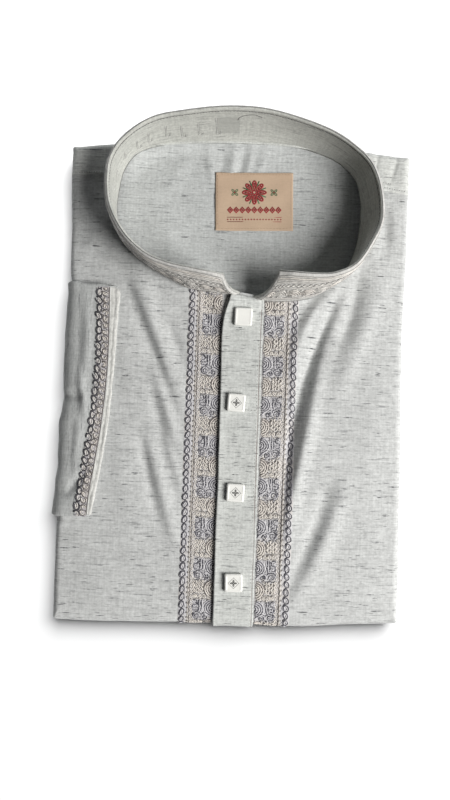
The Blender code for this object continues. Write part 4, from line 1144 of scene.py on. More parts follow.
def make_sleeve():
    """A flattened tube: upper ply, top and foot folds, lower ply; it turns
    round the side, and its cuff is open."""
    radius = FOLD_R + 4.35
    nv = 130
    v_share = np.linspace(0, 1, nv + 1)
    arcs = np.radians([20, 45, 70, 90, 110, 135, 160])
    turn_end = math.radians(148.0)
    # Stations across: 0 at the cuff's edge, 1 where the side fold starts.
    across = np.concatenate([[0.0, 0.012, 0.035], np.linspace(0.07, 1, 26)])
    rounds = np.linspace(0, 1, 17)[1:]
    layers = []
    for depth in (0.0, 1.0):
        rows = []
        for s in [*across, *(1 + rounds)]:
            loop = []
            # Upper ply from foot to top, the top fold, the lower ply back, the foot fold.
            for part in ("upper", "top", "lower", "foot"):
                if part in ("upper", "lower"):
                    share = v_share if part == "upper" else v_share[::-4]
                    angle = np.zeros_like(share) if part == "upper" else np.full_like(share, PI)
                    end = share
                else:
                    angle = arcs if part == "top" else PI + arcs
                    end = np.full_like(angle, 1.0 if part == "top" else 0.0)
                lowness = (1 - np.cos(angle)) / 2
                spread_out = np.abs(np.sin(angle)) * 2.0 * (1 if part == "top" else -1 if part == "foot" else 0)
                y_guess = SLEEVE_FOOT + (SLEEVE_TOP - SLEEVE_FOOT) * end
                upper_x, lower_x = read(CUFF, 1, y_guess), read(CUFF, 2, y_guess)
                cuff_x = upper_x + (lower_x - upper_x) * lowness
                start = read(SIDES, 1, y_guess) + FOLD_R
                u = cuff_x + (start - cuff_x) * min(s, 1.0)
                foot_y, top_y = sleeve_foot_y(u), sleeve_top_y(u)
                y = foot_y + 2.0 + (top_y - foot_y - 4.0) * end + spread_out
                inner = depth * 0.95
                edge = 1.0 if s > 0.03 else (0.45 if s < 0.005 else 0.8)
                if s <= 1.0:
                    upper_z = sleeve_height(u, y) - (0.5 * (1 - edge) if depth == 0 else -0.45 * (1 - edge)) - inner * 1.0
                    lower_z = stack_top(u, y) + front_top(u, y) * 0 + 0.35 + inner * 1.0
                    middle, half = (upper_z + lower_z) / 2, (upper_z - lower_z) / 2
                    z = middle + half * np.cos(angle)
                    y = y - np.sign(spread_out) * inner * np.abs(np.sin(angle))
                    loop.append(np.stack([u, y, z, u, y], -1))
                else:
                    off = -lowness * 3.95 - inner * np.cos(angle)
                    y = y - np.sign(spread_out) * inner * np.abs(np.sin(angle))
                    turn = turn_end * (s - 1)
                    zt = sleeve_height(start, y) - radius
                    wave = 0.45 * wander(y / 20, s * 2, 62) * math.sin(turn)
                    x = start - (radius + off + wave + read(SLEEVE_SIDE, 1, y)) * math.sin(turn)
                    z = zt + (radius + off) * math.cos(turn)
                    loop.append(np.stack([x, y, z, start - radius * turn + 0 * y, y], -1))
            rows.append(np.concatenate(loop))
        layers.append(np.array(rows))
    n = layers[0].shape[1]
    m = layers[0].shape[0]
    index = np.arange(m * n).reshape(m, n)
    both = np.concatenate([layers[0].reshape(-1, 5), layers[1].reshape(-1, 5)])
    faces = [quads(index, wrap=True), quads(index + m * n, wrap=True)[:, ::-1]]
    for row, turn in ((0, 1), (m - 1, -1)):
        a, b = index[row], index[row] + m * n
        faces.append(np.stack([a, np.roll(a, -1), np.roll(b, -1), b], -1)[:, ::-turn])
    uv = both[:, [4, 3]]
    obj = build("sleeve_cloth", both[:, :3], faces, cloth_sleeve, uv)
    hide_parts("sleeve")
    return obj


def facing_point(share, y, off=0.0):
    """Place on the cuff's facing: share 0 at its free edge, 1 under the ply."""
    low, up = read(CUFF, 2, y) + 0.3 + 0.35 * wander(y / 6, 0.5, 75) + 0.7 * np.exp(-(((y - 66) / 6) ** 2)), read(CUFF, 1, y) - 4.0
    x = low + (up - low) * share
    z = stack_top(x, y) + 2.6 + 0.25 * wander(x / 5, y / 9, 71) + off
    return np.stack([x, y, z], -1)


def make_facing():
    ny, nx = 150, 16
    shares = np.concatenate([[0.0, 0.02, 0.05, 0.10, 0.16], np.linspace(0.23, 1.0, nx - 4)])
    b = np.linspace(0, 1, ny + 1)
    S, B = np.meshgrid(shares, b)
    top = SLEEVE_TOP - 2.4
    Y = SLEEVE_FOOT + 1.4 + (top - SLEEVE_FOOT - 1.4) * B
    Y = Y - 4.2 * (1 - np.sqrt(np.clip(1 - np.clip(1 - S / 0.5, 0, 1) ** 2, 0, 1))) * soft((B - 0.93) / 0.07)
    groove = -0.26 * np.exp(-(((S - 0.36 - 0.10 * wander(Y / 8, 0.5, 72)) / 0.06) ** 2))
    groove = groove + 0.22 * wander(S * 4, Y / 1.9, 73) + 0.20 * wander(S * 7, Y / 6, 74)
    roll = np.sqrt(np.clip(1 - (1 - np.clip(S / 0.14, 0, 1)) ** 2, 0, 1))
    bead = 0.16 * np.exp(-(((S - 0.17) / 0.10) ** 2))
    upper = facing_point(S, Y, -0.9 + 0.9 * roll + bead + groove)
    lower = facing_point(S, Y, -1.1 + 0 * S)
    index = np.arange(S.size).reshape(S.shape)
    rim = np.concatenate([index[0, :-1], index[:-1, -1], index[-1, :0:-1], index[:0:-1, 0]])
    faces = [quads(index)[:, ::-1], quads(index + S.size), np.stack([rim, rim + S.size, np.roll(rim, -1) + S.size, np.roll(rim, -1)], -1)[:, ::-1]]
    verts = np.concatenate([upper.reshape(-1, 3), lower.reshape(-1, 3)])
    obj = build("cuff_facing_cloth", verts, faces, cloth_facing, verts[:, [1, 0]])
    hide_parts("cuff_facing")
    return obj


# -------------------------------------------------------------------- label
LABEL_AT = (16.0, 142.2)
LABEL_SIZE = (55.6, 42.0)
LABEL_TILT = 0.028


def label_point(p, q, off=0.0):
    """Place on the label: p and q from its middle, off above its face."""
    x = LABEL_AT[0] + p * math.cos(LABEL_TILT) - q * math.sin(LABEL_TILT)
    y = LABEL_AT[1] + p * math.sin(LABEL_TILT) + q * math.cos(LABEL_TILT)
    lift = 0.30 * wander(p / 13, q / 11, 81) + 0.55 * np.clip(np.abs(q) / 21 - 0.8, 0, 1) * wander(p / 8, 0.5, 82)
    return np.stack([x, y, floor_height(x, y) + 1.35 + lift + off], -1)


def make_label():
    nx, ny = 64, 48
    p = np.linspace(-1, 1, nx + 1)
    q = np.linspace(-1, 1, ny + 1)
    p, q = np.sign(p) * np.abs(p) ** 0.8, np.sign(q) * np.abs(q) ** 0.8
    P, Q = np.meshgrid(p * LABEL_SIZE[0] / 2, q * LABEL_SIZE[1] / 2)
    P2 = P + 0.18 * wander(Q / 6, 0.5, 83) * np.abs(P / 27.8) ** 4
    Q2 = Q + 0.18 * wander(P / 6, 0.5, 84) * np.abs(Q / 21) ** 4
    rim = np.minimum(LABEL_SIZE[0] / 2 - np.abs(P), LABEL_SIZE[1] / 2 - np.abs(Q))
    roll = np.sqrt(np.clip(1 - (1 - np.clip(rim / 0.5, 0, 1)) ** 2, 0, 1))
    seam = -0.16 * np.exp(-(((rim - 1.5) / 0.35) ** 2))
    upper = label_point(P2, Q2, -0.55 + 0.55 * roll + seam)
    lower = label_point(P2, Q2, -0.62)
    index = np.arange(P.size).reshape(P.shape)
    edge = np.concatenate([index[0, :-1], index[:-1, -1], index[-1, :0:-1], index[:0:-1, 0]])
    wall = np.stack([edge, edge + P.size, np.roll(edge, -1) + P.size, np.roll(edge, -1)], -1)
    g = Graph("label_satin", (0.52, 0.385, 0.275), 0.42, specular=0.4, sheen=0.2)
    weave = g.noise(0.30, 3.0, 1, 1.0)
    across = g.noise(3.0, 0.22, 2, 1.0)
    cloud = g.noise(14, 10, 3, 1.0)
    g.feed("Base Color", g.vary((0.52, 0.385, 0.275), [(weave, 0.16), (across, 0.22), (cloud, 0.12)]))
    g.bump([(weave, 0.5), (across, 1.0)], 0.05)
    uv = np.concatenate([np.stack([P, Q], -1).reshape(-1, 2)] * 2)
    obj = build("neck_label_cloth", np.concatenate([upper.reshape(-1, 3), lower.reshape(-1, 3)]),
                [quads(index), quads(index + P.size)[:, ::-1], wall], g.material, uv)
    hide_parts("neck_label")
    # A plain woven ornament: a rosette between small flowers, over a band of
    # lozenges and a dotted rule.
    red, green = Threads(4), Threads(4)

    def draw(threads, points, radius, closed=False):
        points = np.asarray(points, float)
        path = label_point(points[:, 0], points[:, 1], 0.03)
        threads.cord(path, np.tile([0, 0, 1.0], (len(path), 1)), radius, flat=0.22, closed=closed, taper=False)

    def ring(cx, cy, rx, ry, turn=0.0, count=14, start=0.0, end=2 * PI):
        a = np.linspace(start, end, count, endpoint=end - start < 6.2)
        px, py = rx * np.cos(a), ry * np.sin(a)
        return np.stack([cx + px * math.cos(turn) - py * math.sin(turn), cy + px * math.sin(turn) + py * math.cos(turn)], -1)

    for k in range(8):
        a = k * PI / 4
        draw(red, ring(5.4 * math.cos(a), 6.5 + 5.4 * math.sin(a), 3.0, 1.3, a), 0.62, True)
        draw(red, [(3.6 * math.cos(a), 6.5 + 3.6 * math.sin(a)), (7.0 * math.cos(a), 6.5 + 7.0 * math.sin(a))], 0.5)
        b = a + PI / 8
        draw(green, [(2.2 * math.cos(b), 6.5 + 2.2 * math.sin(b)), (9.0 * math.cos(b), 6.5 + 9.0 * math.sin(b))], 0.42)
    draw(red, ring(0, 6.5, 1.4, 1.4), 0.6, True)
    for side in (-1, 1):
        for k in range(4):
            a = k * PI / 2 + PI / 4
            draw(green, ring(side * 14 + 1.7 * math.cos(a), 6.5 + 1.7 * math.sin(a), 1.2, 0.6, a, 10), 0.32, True)
        draw(red, ring(side * 14, 6.5, 0.5, 0.5, 0, 8), 0.35, True)
    for k in range(-4, 5):
        draw(red, [(k * 4.3 - 1.7, -6.2), (k * 4.3, -4.2), (k * 4.3 + 1.7, -6.2), (k * 4.3, -8.2)], 0.62, True)
        draw(red, [(k * 4.3 - 0.5, -6.2), (k * 4.3, -5.6), (k * 4.3 + 0.5, -6.2), (k * 4.3, -6.8)], 0.45, True)
    for y in (-11.4, -14.6):
        draw(red, [(-19.5, y), (19.5, y)], 0.20)
    for k in range(-9, 10):
        draw(red, ring(k * 2.1, -13.0, 0.32, 0.32, 0, 6), 0.28, True)
    marks = []
    for name, threads, tone in (("neck_label_red", red, (0.30, 0.022, 0.026)), ("neck_label_green", green, (0.05, 0.14, 0.06))):
        g = Graph(name + "_thread", tone, 0.55, specular=0.4, sheen=0.1)
        strand = g.noise(1.2, 30, 4, 1.0)
        g.feed("Base Color", g.vary(tone, [(strand, 0.8)]))
        piece = threads.make(name, g.material)
        marks.append(piece)
    seam = Threads(4)
    w, h = LABEL_SIZE[0] / 2 - 1.5, LABEL_SIZE[1] / 2 - 1.5
    corners = [(-w, -h), (w, -h), (w, h), (-w, h)]
    for k in range(4):
        a, b = np.array(corners[k]), np.array(corners[(k + 1) % 4])
        far = np.linalg.norm(b - a)
        for j in range(int(far / 2.3)):
            s = (j + 0.2) * 2.3 / far, (j + 0.85) * 2.3 / far
            line = np.array([a + (b - a) * t for t in np.linspace(s[0], s[1], 4)])
            path = label_point(line[:, 0], line[:, 1], np.array([-0.12, 0.05, 0.05, -0.12]))
            seam.cord(path, np.tile([0, 0, 1.0], (4, 1)), 0.17, flat=0.7)
    g = Graph("label_seam_thread", (0.50, 0.35, 0.24), 0.5, specular=0.4, sheen=0.1)
    g.feed("Base Color", g.vary((0.46, 0.32, 0.22), [(g.noise(1.0, 30, 5, 1.0), 0.6)]))
    g.bump([(g.noise(0.6, 10, 6, 1.0), 1.0)], 0.05)
    piece = seam.make("neck_label_seam", g.material)
    marks.append(piece)
    return obj, marks


# ------------------------------------------------------------------ buttons
def make_buttons():
    g = Graph("button_white", (0.82, 0.82, 0.785), 0.26, specular=0.55)
    cloud = g.noise(5, 5, 1, 2.0)
    grain = g.noise(0.5, 0.5, 2, 2.0)
    g.feed("Base Color", g.vary((0.82, 0.82, 0.785), [(cloud, 0.08), (grain, 0.03)]))
    g.bump([(cloud, 1.0), (grain, 0.25)], 0.03)
    mark = Graph("button_mark", (0.13, 0.13, 0.125), 0.5, specular=0.4)
    tone = mark.noise(1.5, 1.5, 3, 1.0)
    mark.feed("Base Color", mark.vary((0.13, 0.13, 0.125), [(tone, 0.5)]))
    out = []
    for name, x, y, turn, marked in BUTTONS:
        half = 6.2
        spots = np.array([(i, j) for i in (-5.6, 0, 5.6) for j in (-5.6, 0, 5.6)])
        heights = front_point(x + spots[:, 0], y + spots[:, 1], 3.25)[0][:, 2]
        sx = (spots[:, 0] * heights).sum() / (spots[:, 0] ** 2).sum()
        sy = (spots[:, 1] * heights).sum() / (spots[:, 1] ** 2).sum()
        base = (heights - sx * spots[:, 0] - sy * spots[:, 1]).max() + 0.15
        c, s = math.cos(math.radians(turn)), math.sin(math.radians(turn))

        def spot_at(p, q, z):
            qx, qy = p * c - q * s, p * s + q * c
            return np.stack([x + qx - sx * z, y + qy - sy * z, base + z + sx * qx + sy * qy], -1)

        def square(size, corner, count=6):
            pts = []
            for k, (a, b) in enumerate(((1, 1), (-1, 1), (-1, -1), (1, -1))):
                for j in range(count + 1):
                    t = (k + j / count) * PI / 2
                    pts.append((a * (size - corner) + corner * math.cos(t), b * (size - corner) + corner * math.sin(t)))
            return np.array(pts)

        profile = (
            (0.7, 0.0, 0.7), (0.15, 0.08, 1.15), (0.0, 0.35, 1.3), (0.0, 2.0, 1.3), (0.06, 2.35, 1.25),
            (0.24, 2.62, 1.15), (0.50, 2.84, 1.0), (0.85, 3.0, 0.85), (1.25, 3.05, 0.75), (1.45, 3.02, 0.7),
            (1.62, 2.93, 0.65), (1.9, 2.90, 0.6), (4.5, 2.93, 0.5),
        )
        verts, uv = [], []
        for inset, z, corner in profile:
            ring = square(half - inset, corner)
            verts.append(spot_at(ring[:, 0], ring[:, 1], np.full(len(ring), z)))
            uv.append(ring + 20 * len(out))
        n = len(verts[0])
        index = np.arange(n * len(profile)).reshape(len(profile), n)
        verts = np.concatenate(verts + [spot_at(np.zeros(2), np.zeros(2), np.array([2.93, 0.0]))])
        uv = np.vstack(uv + [np.zeros((2, 2))])
        top, low = len(verts) - 2, len(verts) - 1
        faces = [
            quads(index, wrap=True),
            np.stack([np.full(n, top), index[-1], np.roll(index[-1], -1)], -1),
            np.stack([np.full(n, low), np.roll(index[0], -1), index[0]], -1),
        ]
        body = build(name + "_body", verts, faces, g.material, uv)
        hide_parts(name)
        out.append(body)
        if not marked:
            continue
        # A small plain four-petal flower in a lozenge.
        mesh = Threads(4)

        def draw(points, radius, closed=False):
            points = np.asarray(points, float)
            path = spot_at(points[:, 0], points[:, 1], np.full(len(points), 2.96))
            mesh.cord(path, np.tile([0, 0, 1.0], (len(path), 1)), radius, flat=0.25, closed=closed, taper=False)

        for k in range(4):
            a = k * PI / 2
            t = np.linspace(0, 2 * PI, 12, endpoint=False)
            px, py = 0.95 * np.cos(t), 0.5 * np.sin(t)
            ca, sa = math.cos(a), math.sin(a)
            draw(np.stack([1.3 * ca + px * ca - py * sa, 1.3 * sa + px * sa + py * ca], -1), 0.20, True)
            draw([(0.4 * ca, 0.4 * sa), (1.9 * ca, 1.9 * sa)], 0.18)
        draw([(0.0, 3.7), (-3.7, 0.0), (0.0, -3.7), (3.7, 0.0)], 0.17, True)
        piece = mesh.make(name + "_mark", mark.material)
        out.append(piece)
    return out


# --------------------------------------------------------------- embroidery
def arc(cx, cy, r, a0, a1, count=None, ry=None):
    count = count or max(6, int(abs(a1 - a0) * r / 0.75))
    a = np.linspace(a0, a1, count)
    return np.stack([cx + r * np.cos(a), cy + (ry or r) * np.sin(a)], -1)


def spiral(cx, cy, r0, r1, turns, start, count=None):
    count = count or max(10, int(turns * 2 * PI * (r0 + r1) / 2 / 0.7))
    f = np.linspace(0, 1, count)
    a = start + turns * 2 * PI * f
    r = r0 + (r1 - r0) * f
    return np.stack([cx + r * np.cos(a), cy + r * np.sin(a)], -1)


def smooth_line(points, count=4):
    """A smooth way through some points."""
    p = np.asarray(points, float)
    table = [(k, *row) for k, row in enumerate(p)]
    t = np.linspace(0, len(p) - 1, (len(p) - 1) * count + 1)
    return np.stack([read(table, 1, t), read(table, 2, t)], -1)


def border_repeat():
    """One repeat of the border's main column, charted: p in from the
    outer edge, q down the front, with each cord's tone."""
    L = 28.4
    cords = []

    def add(tone, points, radius=0.36):
        cords.append((tone, radius, np.asarray(points, float)))

    # Upper half: nested arcs opening inwards beside an upright key.
    for r in (1.6, 3.1, 4.6, 6.1):
        add("lilac", arc(24.2, 6.0, r, PI * 0.53, PI * 1.47, ry=r * 0.86), 0.36)
    # Pale cords between the dark ones: light thread, and partly a painted highlight on the lit side of the raised work.
    for r in (2.35, 3.85, 5.35, 6.85):
        add("pale", arc(24.2, 6.0, r, PI * 0.56, PI * 1.44, ry=r * 0.86), 0.34)
    add("lilac", smooth_line([(9.9, 0.6), (12.6, 1.1), (12.5, 3.8), (10.2, 4.4), (10.4, 7.4), (13.0, 7.9)]), 0.36)
    add("pale", smooth_line([(10.0, 1.9), (11.4, 2.3), (11.3, 3.2), (9.6, 3.7)]), 0.32)
    add("pale", smooth_line([(11.7, 5.1), (11.6, 6.6), (13.2, 6.9)]), 0.32)
    for x, tone in ((14.1, "lilac"), (15.0, "pale"), (15.9, "lilac"), (16.8, "pale")):
        add(tone, smooth_line([(x + 0.1, 0.5), (x - 0.1, 3.0), (x + 0.2, 5.6), (x - 0.3, 8.4)]), 0.34)
    add("lilac", smooth_line([(12.6, 2.6), (16.2, 2.9)], 3), 0.30)
    add("lilac", smooth_line([(10.8, 5.7), (14.2, 5.9)], 3), 0.30)
    # Two turned rosettes, a fan over the greater one.
    add("lilac", spiral(12.9, 11.8, 0.5, 2.5, 1.6, 0.4), 0.36)
    add("pale", spiral(12.9, 11.8, 0.2, 1.7, 1.2, 0.1), 0.28)
    add("lilac", arc(12.9, 11.8, 3.4, PI * 1.04, PI * 1.92, ry=2.9), 0.32)
    for a in (1.14, 1.32, 1.5, 1.68, 1.86):
        add("pale", [(12.9 + 2.9 * math.cos(PI * a), 11.8 + 2.6 * math.sin(PI * a)), (12.9 + 4.4 * math.cos(PI * a), 11.8 + 3.8 * math.sin(PI * a))], 0.26)
    add("lilac", spiral(19.0, 12.6, 0.4, 2.1, 1.4, 2.0), 0.36)
    add("pale", arc(19.0, 12.6, 2.7, PI * 0.9, PI * 1.9), 0.30)
    add("lilac", smooth_line([(16.6, 10.2), (18.2, 9.4), (20.6, 9.6), (22.6, 11.6), (23.6, 13.4)]), 0.32)
    add("pale", smooth_line([(17.6, 8.6), (19.2, 8.5), (21.4, 9.0), (23.2, 10.6)]), 0.30)
    # Lower half: nested arches and upright squiggles, each with a thin brown cord beside it as its painted shadow line.
    for r in (1.4, 2.9, 4.4, 5.9):
        add("blush" if r != 2.9 else "cream", arc(24.0, 21.2, r, PI * 0.56, PI * 1.46, ry=r * 0.98), 0.42)
        add("brown", arc(24.0, 21.2, r + 0.74, PI * 0.56, PI * 1.46, ry=(r + 0.74) * 0.98), 0.26)
    for k, x0 in enumerate((10.4, 12.3, 14.2, 16.1)):
        q = np.linspace(15.4, 23.6, 21)
        sway = 0.55 * np.sin((q - 15) * 2 * PI / 3.1 + k * 2.4)
        add(("blush", "cream")[k % 2], np.stack([x0 + sway, q], -1), 0.40)
        add("brown", np.stack([x0 + 0.95 + sway, q], -1), 0.25)
    for k, (x0, y0) in enumerate(((11.2, 26.2), (14.6, 26.4), (18.0, 26.6), (21.4, 27.0))):
        add(("cream", "blush")[k % 2], spiral(x0, y0, 0.3, 1.5, 1.2, k * 1.1), 0.36)
        add("brown", arc(x0, y0, 2.0, PI * 1.1, PI * 2.1), 0.25)
    add("lilac", smooth_line([(9.8, 14.6), (11.8, 15.2), (14.0, 14.6), (16.4, 15.3), (18.6, 15.0), (21.0, 15.9), (23.4, 15.2)]), 0.26)
    add("brown", smooth_line([(9.8, 28.0), (12.4, 28.3), (15.2, 28.0), (18.4, 28.4), (23.4, 28.2)]), 0.25)
    return L, cords


def ovals(middle, wide, tall, pitch, start, end, tilt, seed, loose=1.0, turns=2.08):
    """Rings one below another, each a little different."""
    out = []
    for k in range(int((end - start) / pitch)):
        a, b, c = (loose * float(spot(np.array(k), np.array(j), seed)) for j in (1, 2, 3))
        t = np.linspace(0.4 + 3 * (loose - 1) * b, 0.4 + 3 * (loose - 1) * b + turns * PI, 17)
        lean = tilt + 0.26 * a
        x, y = wide * (1 + 0.13 * b) * np.cos(t), tall * (1 + 0.10 * c) * np.sin(t)
        out.append(np.stack([
            middle + 0.25 * c + x * math.cos(lean) - y * math.sin(lean),
            start + pitch * k + 0.25 * b + x * math.sin(lean) + y * math.cos(lean),
        ], -1))
    return out


def small_arcs(p0, p1, q0, q1, pitch, seed):
    """Short curls scattered evenly over a box, for close filling."""
    out = []
    for i in range(int((p1 - p0) / pitch)):
        for j in range(int((q1 - q0) / pitch)):
            a, b, c = (float(spot(np.array(i), np.array(j), seed + k)) for k in range(3))
            middle = (p0 + pitch * (i + 0.5 + 0.3 * a), q0 + pitch * (j + 0.5 + 0.3 * b))
            start = PI * (c + 0.5 * a)
            out.append((middle, c, arc(*middle, 0.80 + 0.18 * b, start, start + PI * 1.25, 6)))
    return out


def coil(middle, across, along, period, start, end, loose=0.0, slant=0.0, seed=0):
    """A cord that runs on in rings: loose makes them uneven, slant leans them."""
    w = np.arange(start, end, period / 13)
    turn = w * 2 * PI / period
    wide = across * (1 + loose * wander(w / period, 0.5, 200 + seed))
    tall = along * (1 + loose * wander(w / period, 7.5, 200 + seed))
    drift = 0.6 * loose * across * wander(w / period * 0.8, 3.5, 200 + seed)
    lean = slant + 2.0 * loose * wander(w / period * 0.7, 11.5, 200 + seed)
    return np.stack([middle + drift + wide * np.cos(turn), w + tall * np.sin(turn) + lean * np.cos(turn)], -1)


def split_runs(points, keep):
    runs, run = [], []
    for p, k in zip(points, keep):
        if k:
            run.append(p)
        elif run:
            runs.append(np.array(run))
            run = []
    if run:
        runs.append(np.array(run))
    return [r for r in runs if len(r) > 1]


def border_v_top(u):
    """Where the border starts under the collar's seam."""
    line = np.array(NECK)
    front = line[(line[:, 1] < 100)]
    order = np.argsort(front[:, 0])
    return np.interp(u, front[order, 0], front[order, 1]) - 1.2


def make_borders():
    made = []
    for side, outer, inward in (("left", -27.6, 1.0), ("right", 49.2, -1.0)):
        kinds = {tone: Threads(4) for tone in ("lilac", "blush", "cream", "brown", "pale")}
        seed = 5 if inward > 0 else 9

        def lay(tone, radius, points, base=0.0):
            p = points[:, 0] + 0.16 * wander(points[:, 0] / 1.6, points[:, 1] / 1.6, seed)
            q = points[:, 1] + 0.16 * wander(points[:, 0] / 1.6, points[:, 1] / 1.6, seed + 1)
            u = outer + inward * p
            v = 73.0 - q
            keep = (v < border_v_top(u)) & (v > -174.0)
            for run in split_runs(np.stack([u, v], -1), keep):
                kinds[tone].later(run[:, 0], run[:, 1], 0.20 + radius * 0.55 + base, radius, 0.85)

        reach = 252.0
        # Outer column: a chain of rings.
        for ring in ovals(2.25, 1.62, 2.45, 5.35, -8.0, reach, 0.30, 60 + seed):
            lay("lilac", 0.33, ring, 0.12)
        # Pale rings inside the dark ones: light thread, and partly a painted highlight.
        for ring in ovals(2.25, 0.72, 1.45, 5.35, -8.0, reach, 0.30, 60 + seed):
            lay("pale", 0.40, ring)
        for k in range(int(reach / 5.35) + 3):
            lay("lilac", 0.24, smooth_line([(0.5, -6.4 + 5.35 * k), (1.7, -5.6 + 5.35 * k), (3.3, -5.2 + 5.35 * k), (4.1, -4.2 + 5.35 * k)]))
            lay("pale", 0.28, smooth_line([(4.3, -9.0 + 5.35 * k), (4.7, -7.6 + 5.35 * k), (4.4, -6.2 + 5.35 * k)]))
        # Second and third columns: a running coil, and small rings.
        lay("brown", 0.25, coil(6.5, 0.95, 1.15, 3.5, -8.0, reach, 0.14, 0.2, seed + 1), 0.05)
        lay("cream", 0.30, np.stack([6.5 + 0.18 * np.sin(np.linspace(-8, reach, 520) * 1.8), np.linspace(-8, reach, 520)], -1))
        for ring in ovals(8.75, 0.70, 1.0, 2.7, -8.0, reach, 0.5, 70 + seed):
            lay("blush", 0.27, ring)
        lay("brown", 0.17, np.stack([8.0 + 0.45 * np.sin(np.linspace(-8, reach, 620) * 1.16), np.linspace(-8, reach, 620)], -1))
        L, cords = border_repeat()
        start = 13.5
        for k in range(-2, int(reach / L) + 2):
            for tone, radius, points in cords:
                lay(tone, radius, points + (0, start + k * L))
        for (p, q), pick, points in small_arcs(9.6, 24.0, -8.0, reach, 1.95, 300 + seed):
            upper = (q - start) % L < 14.6 + 2.4 * math.sin(p * 1.7)
            dark_one = pick > (0.38 if upper else 0.46)
            tone = ("lilac" if dark_one else "pale") if upper else ("brown" if dark_one else "cream")
            lay(tone, 0.22 if dark_one else 0.30, points, -0.06 if dark_one else 0.0)
        for tone, material, slot in (
            ("lilac", thread_lilac, "embroidery"), ("blush", thread_blush, "thread_light"),
            ("cream", thread_cream, "thread_light"), ("brown", thread_brown, "embroidery"),
            ("pale", thread_pale, "thread_light"),
        ):
            kinds[tone].settle(front_point)
            piece = kinds[tone].make(f"border_{side}_{tone}", material)
            made.append(piece)
        # Fill stitching under the cords.
        p = np.concatenate([[-0.3, 0.0, 0.35], np.linspace(1.2, 22.9, 19), [23.7, 24.05, 24.3]])
        q = np.linspace(0, 1, 200)
        P, F = np.meshgrid(p, q)
        U = outer + inward * P
        V0, V1 = border_v_top(U) + 0.4, -174.0
        V = V0 + (V1 - V0) * F
        U = U + 0.2 * wander(V / 2.3, P / 30, seed + 3) * ((P < 0.4) | (P > 23.6))
        lift = 0.20 * np.clip(np.minimum(P + 0.3, 24.3 - P) / 0.6, -0.1, 1) - 0.03 + 0.10 * wander(P / 1.4, V / 1.2, seed + 4)
        place_, _ = front_point(U, V, lift)
        index = np.arange(P.size).reshape(P.shape)
        face = quads(index) if inward < 0 else quads(index)[:, ::-1]
        obj = build(f"border_{side}_ground", place_.reshape(-1, 3), [face], ground, np.stack([P, V], -1).reshape(-1, 2))
        made.append(obj)
    return made


def make_cuff_embroidery():
    kinds = {tone: Threads(4) for tone in ("ink", "brown", "cream", "ivory")}

    def lay(tone, radius, points, base=0.0):
        d, v = points[:, 0], points[:, 1]
        d = d + 0.12 * wander(d / 1.3, v / 1.3, 91)
        keep = (v > SLEEVE_FOOT + 0.6) & (v < SLEEVE_TOP - 3.0)
        for run in split_runs(np.stack([d, v], -1), keep):
            u = read(CUFF, 1, run[:, 1]) - run[:, 0]
            kinds[tone].later(u, run[:, 1], 0.10 + radius * 0.5 + base, radius, 0.85)

    for ring in ovals(7.6, 1.7, 2.7, 5.3, -88.0, 82.0, -0.42, 81, 1.7, 1.85):
        lay("ink", 0.42, ring, 0.14)
    # Ivory rings inside the dark ones: light thread, and partly a painted highlight.
    for ring in ovals(7.6, 0.70, 1.6, 5.3, -88.0, 82.0, -0.42, 81, 1.7, 1.7):
        lay("ivory", 0.42, ring, 0.05)
    for ring in ovals(3.5, 1.35, 2.2, 4.5, -87.0, 82.0, -0.75, 83, 1.8, 1.6):
        lay("brown", 0.26, ring, 0.10)
    for ring in ovals(3.5, 0.60, 1.35, 4.5, -87.0, 82.0, -0.75, 83, 1.8, 1.7):
        lay("cream", 0.42, ring, 0.05)
    lay("ivory", 0.24, np.stack([5.35 + 0.3 * np.sin(np.linspace(-88, 80, 400) * 1.3), np.linspace(-88, 80, 400)], -1))
    for k in range(32):
        cq = -88 + 5.3 * k
        a = float(spot(np.array(k), np.array(3), 77))
        b = float(spot(np.array(k), np.array(5), 77))
        lay("ink", 0.34, smooth_line([(9.2 + 0.2 * a, cq + 1.9), (8.0 + 0.6 * b, cq + 2.7), (6.4, cq + 2.6 + 0.4 * a), (5.7, cq + 3.6)]))
        lay("ink" if a > -0.2 else "brown", 0.30, smooth_line([(5.9, cq - 1.6 + 0.3 * b), (5.2 + 0.3 * a, cq - 0.2), (5.8, cq + 1.2)]))
        if b > -0.3:
            lay("ivory", 0.30, smooth_line([(9.5, cq + 2.6), (8.6 + 0.4 * a, cq + 3.3), (7.4, cq + 3.4 + 0.4 * b)]))
    for k in range(38):
        cq = -87 + 4.5 * k
        a = float(spot(np.array(k), np.array(7), 77))
        lay("brown", 0.26, smooth_line([(1.1, cq + 1.2), (2.2 + 0.4 * a, cq + 2.1), (4.0, cq + 2.4), (4.9, cq + 3.4)]))
        lay("cream", 0.28, smooth_line([(1.4, cq - 0.9), (1.8 + 0.3 * a, cq + 0.2), (1.5, cq + 1.2)]))
    # A brown cord along the cuff's edge stands for the shadow at the ply's edge: painted shadow.
    lay("brown", 0.36, np.stack([np.full(200, 0.6), np.linspace(-88, 80, 200)], -1))
    made = []
    for tone, material, slot in (
        ("ink", thread_ink, "embroidery"), ("brown", thread_brown, "embroidery"),
        ("cream", thread_cream, "thread_light"), ("ivory", thread_ivory, "thread_light"),
    ):
        kinds[tone].settle(sleeve_point)
        piece = kinds[tone].make(f"cuff_{tone}", material)
        made.append(piece)
    d = np.linspace(0.3, 8.7, 13)
    v = np.linspace(SLEEVE_FOOT + 0.4, SLEEVE_TOP - 2.6, 150)
    D, V = np.meshgrid(d, v)
    U = read(CUFF, 1, V) - D
    lift = 0.14 * np.clip(np.minimum(D - 0.3, 8.7 - D) / 0.6, 0, 1) + 0.02 + 0.07 * wander(D / 1.3, V / 1.2, 92)
    place_, _ = sleeve_point(U, V, lift)
    index = np.arange(D.size).reshape(D.shape)
    obj = build("cuff_ground", place_.reshape(-1, 3), [quads(index)[:, ::-1]], ground_cuff, np.stack([D, V], -1).reshape(-1, 2))
    made.append(obj)
    return made


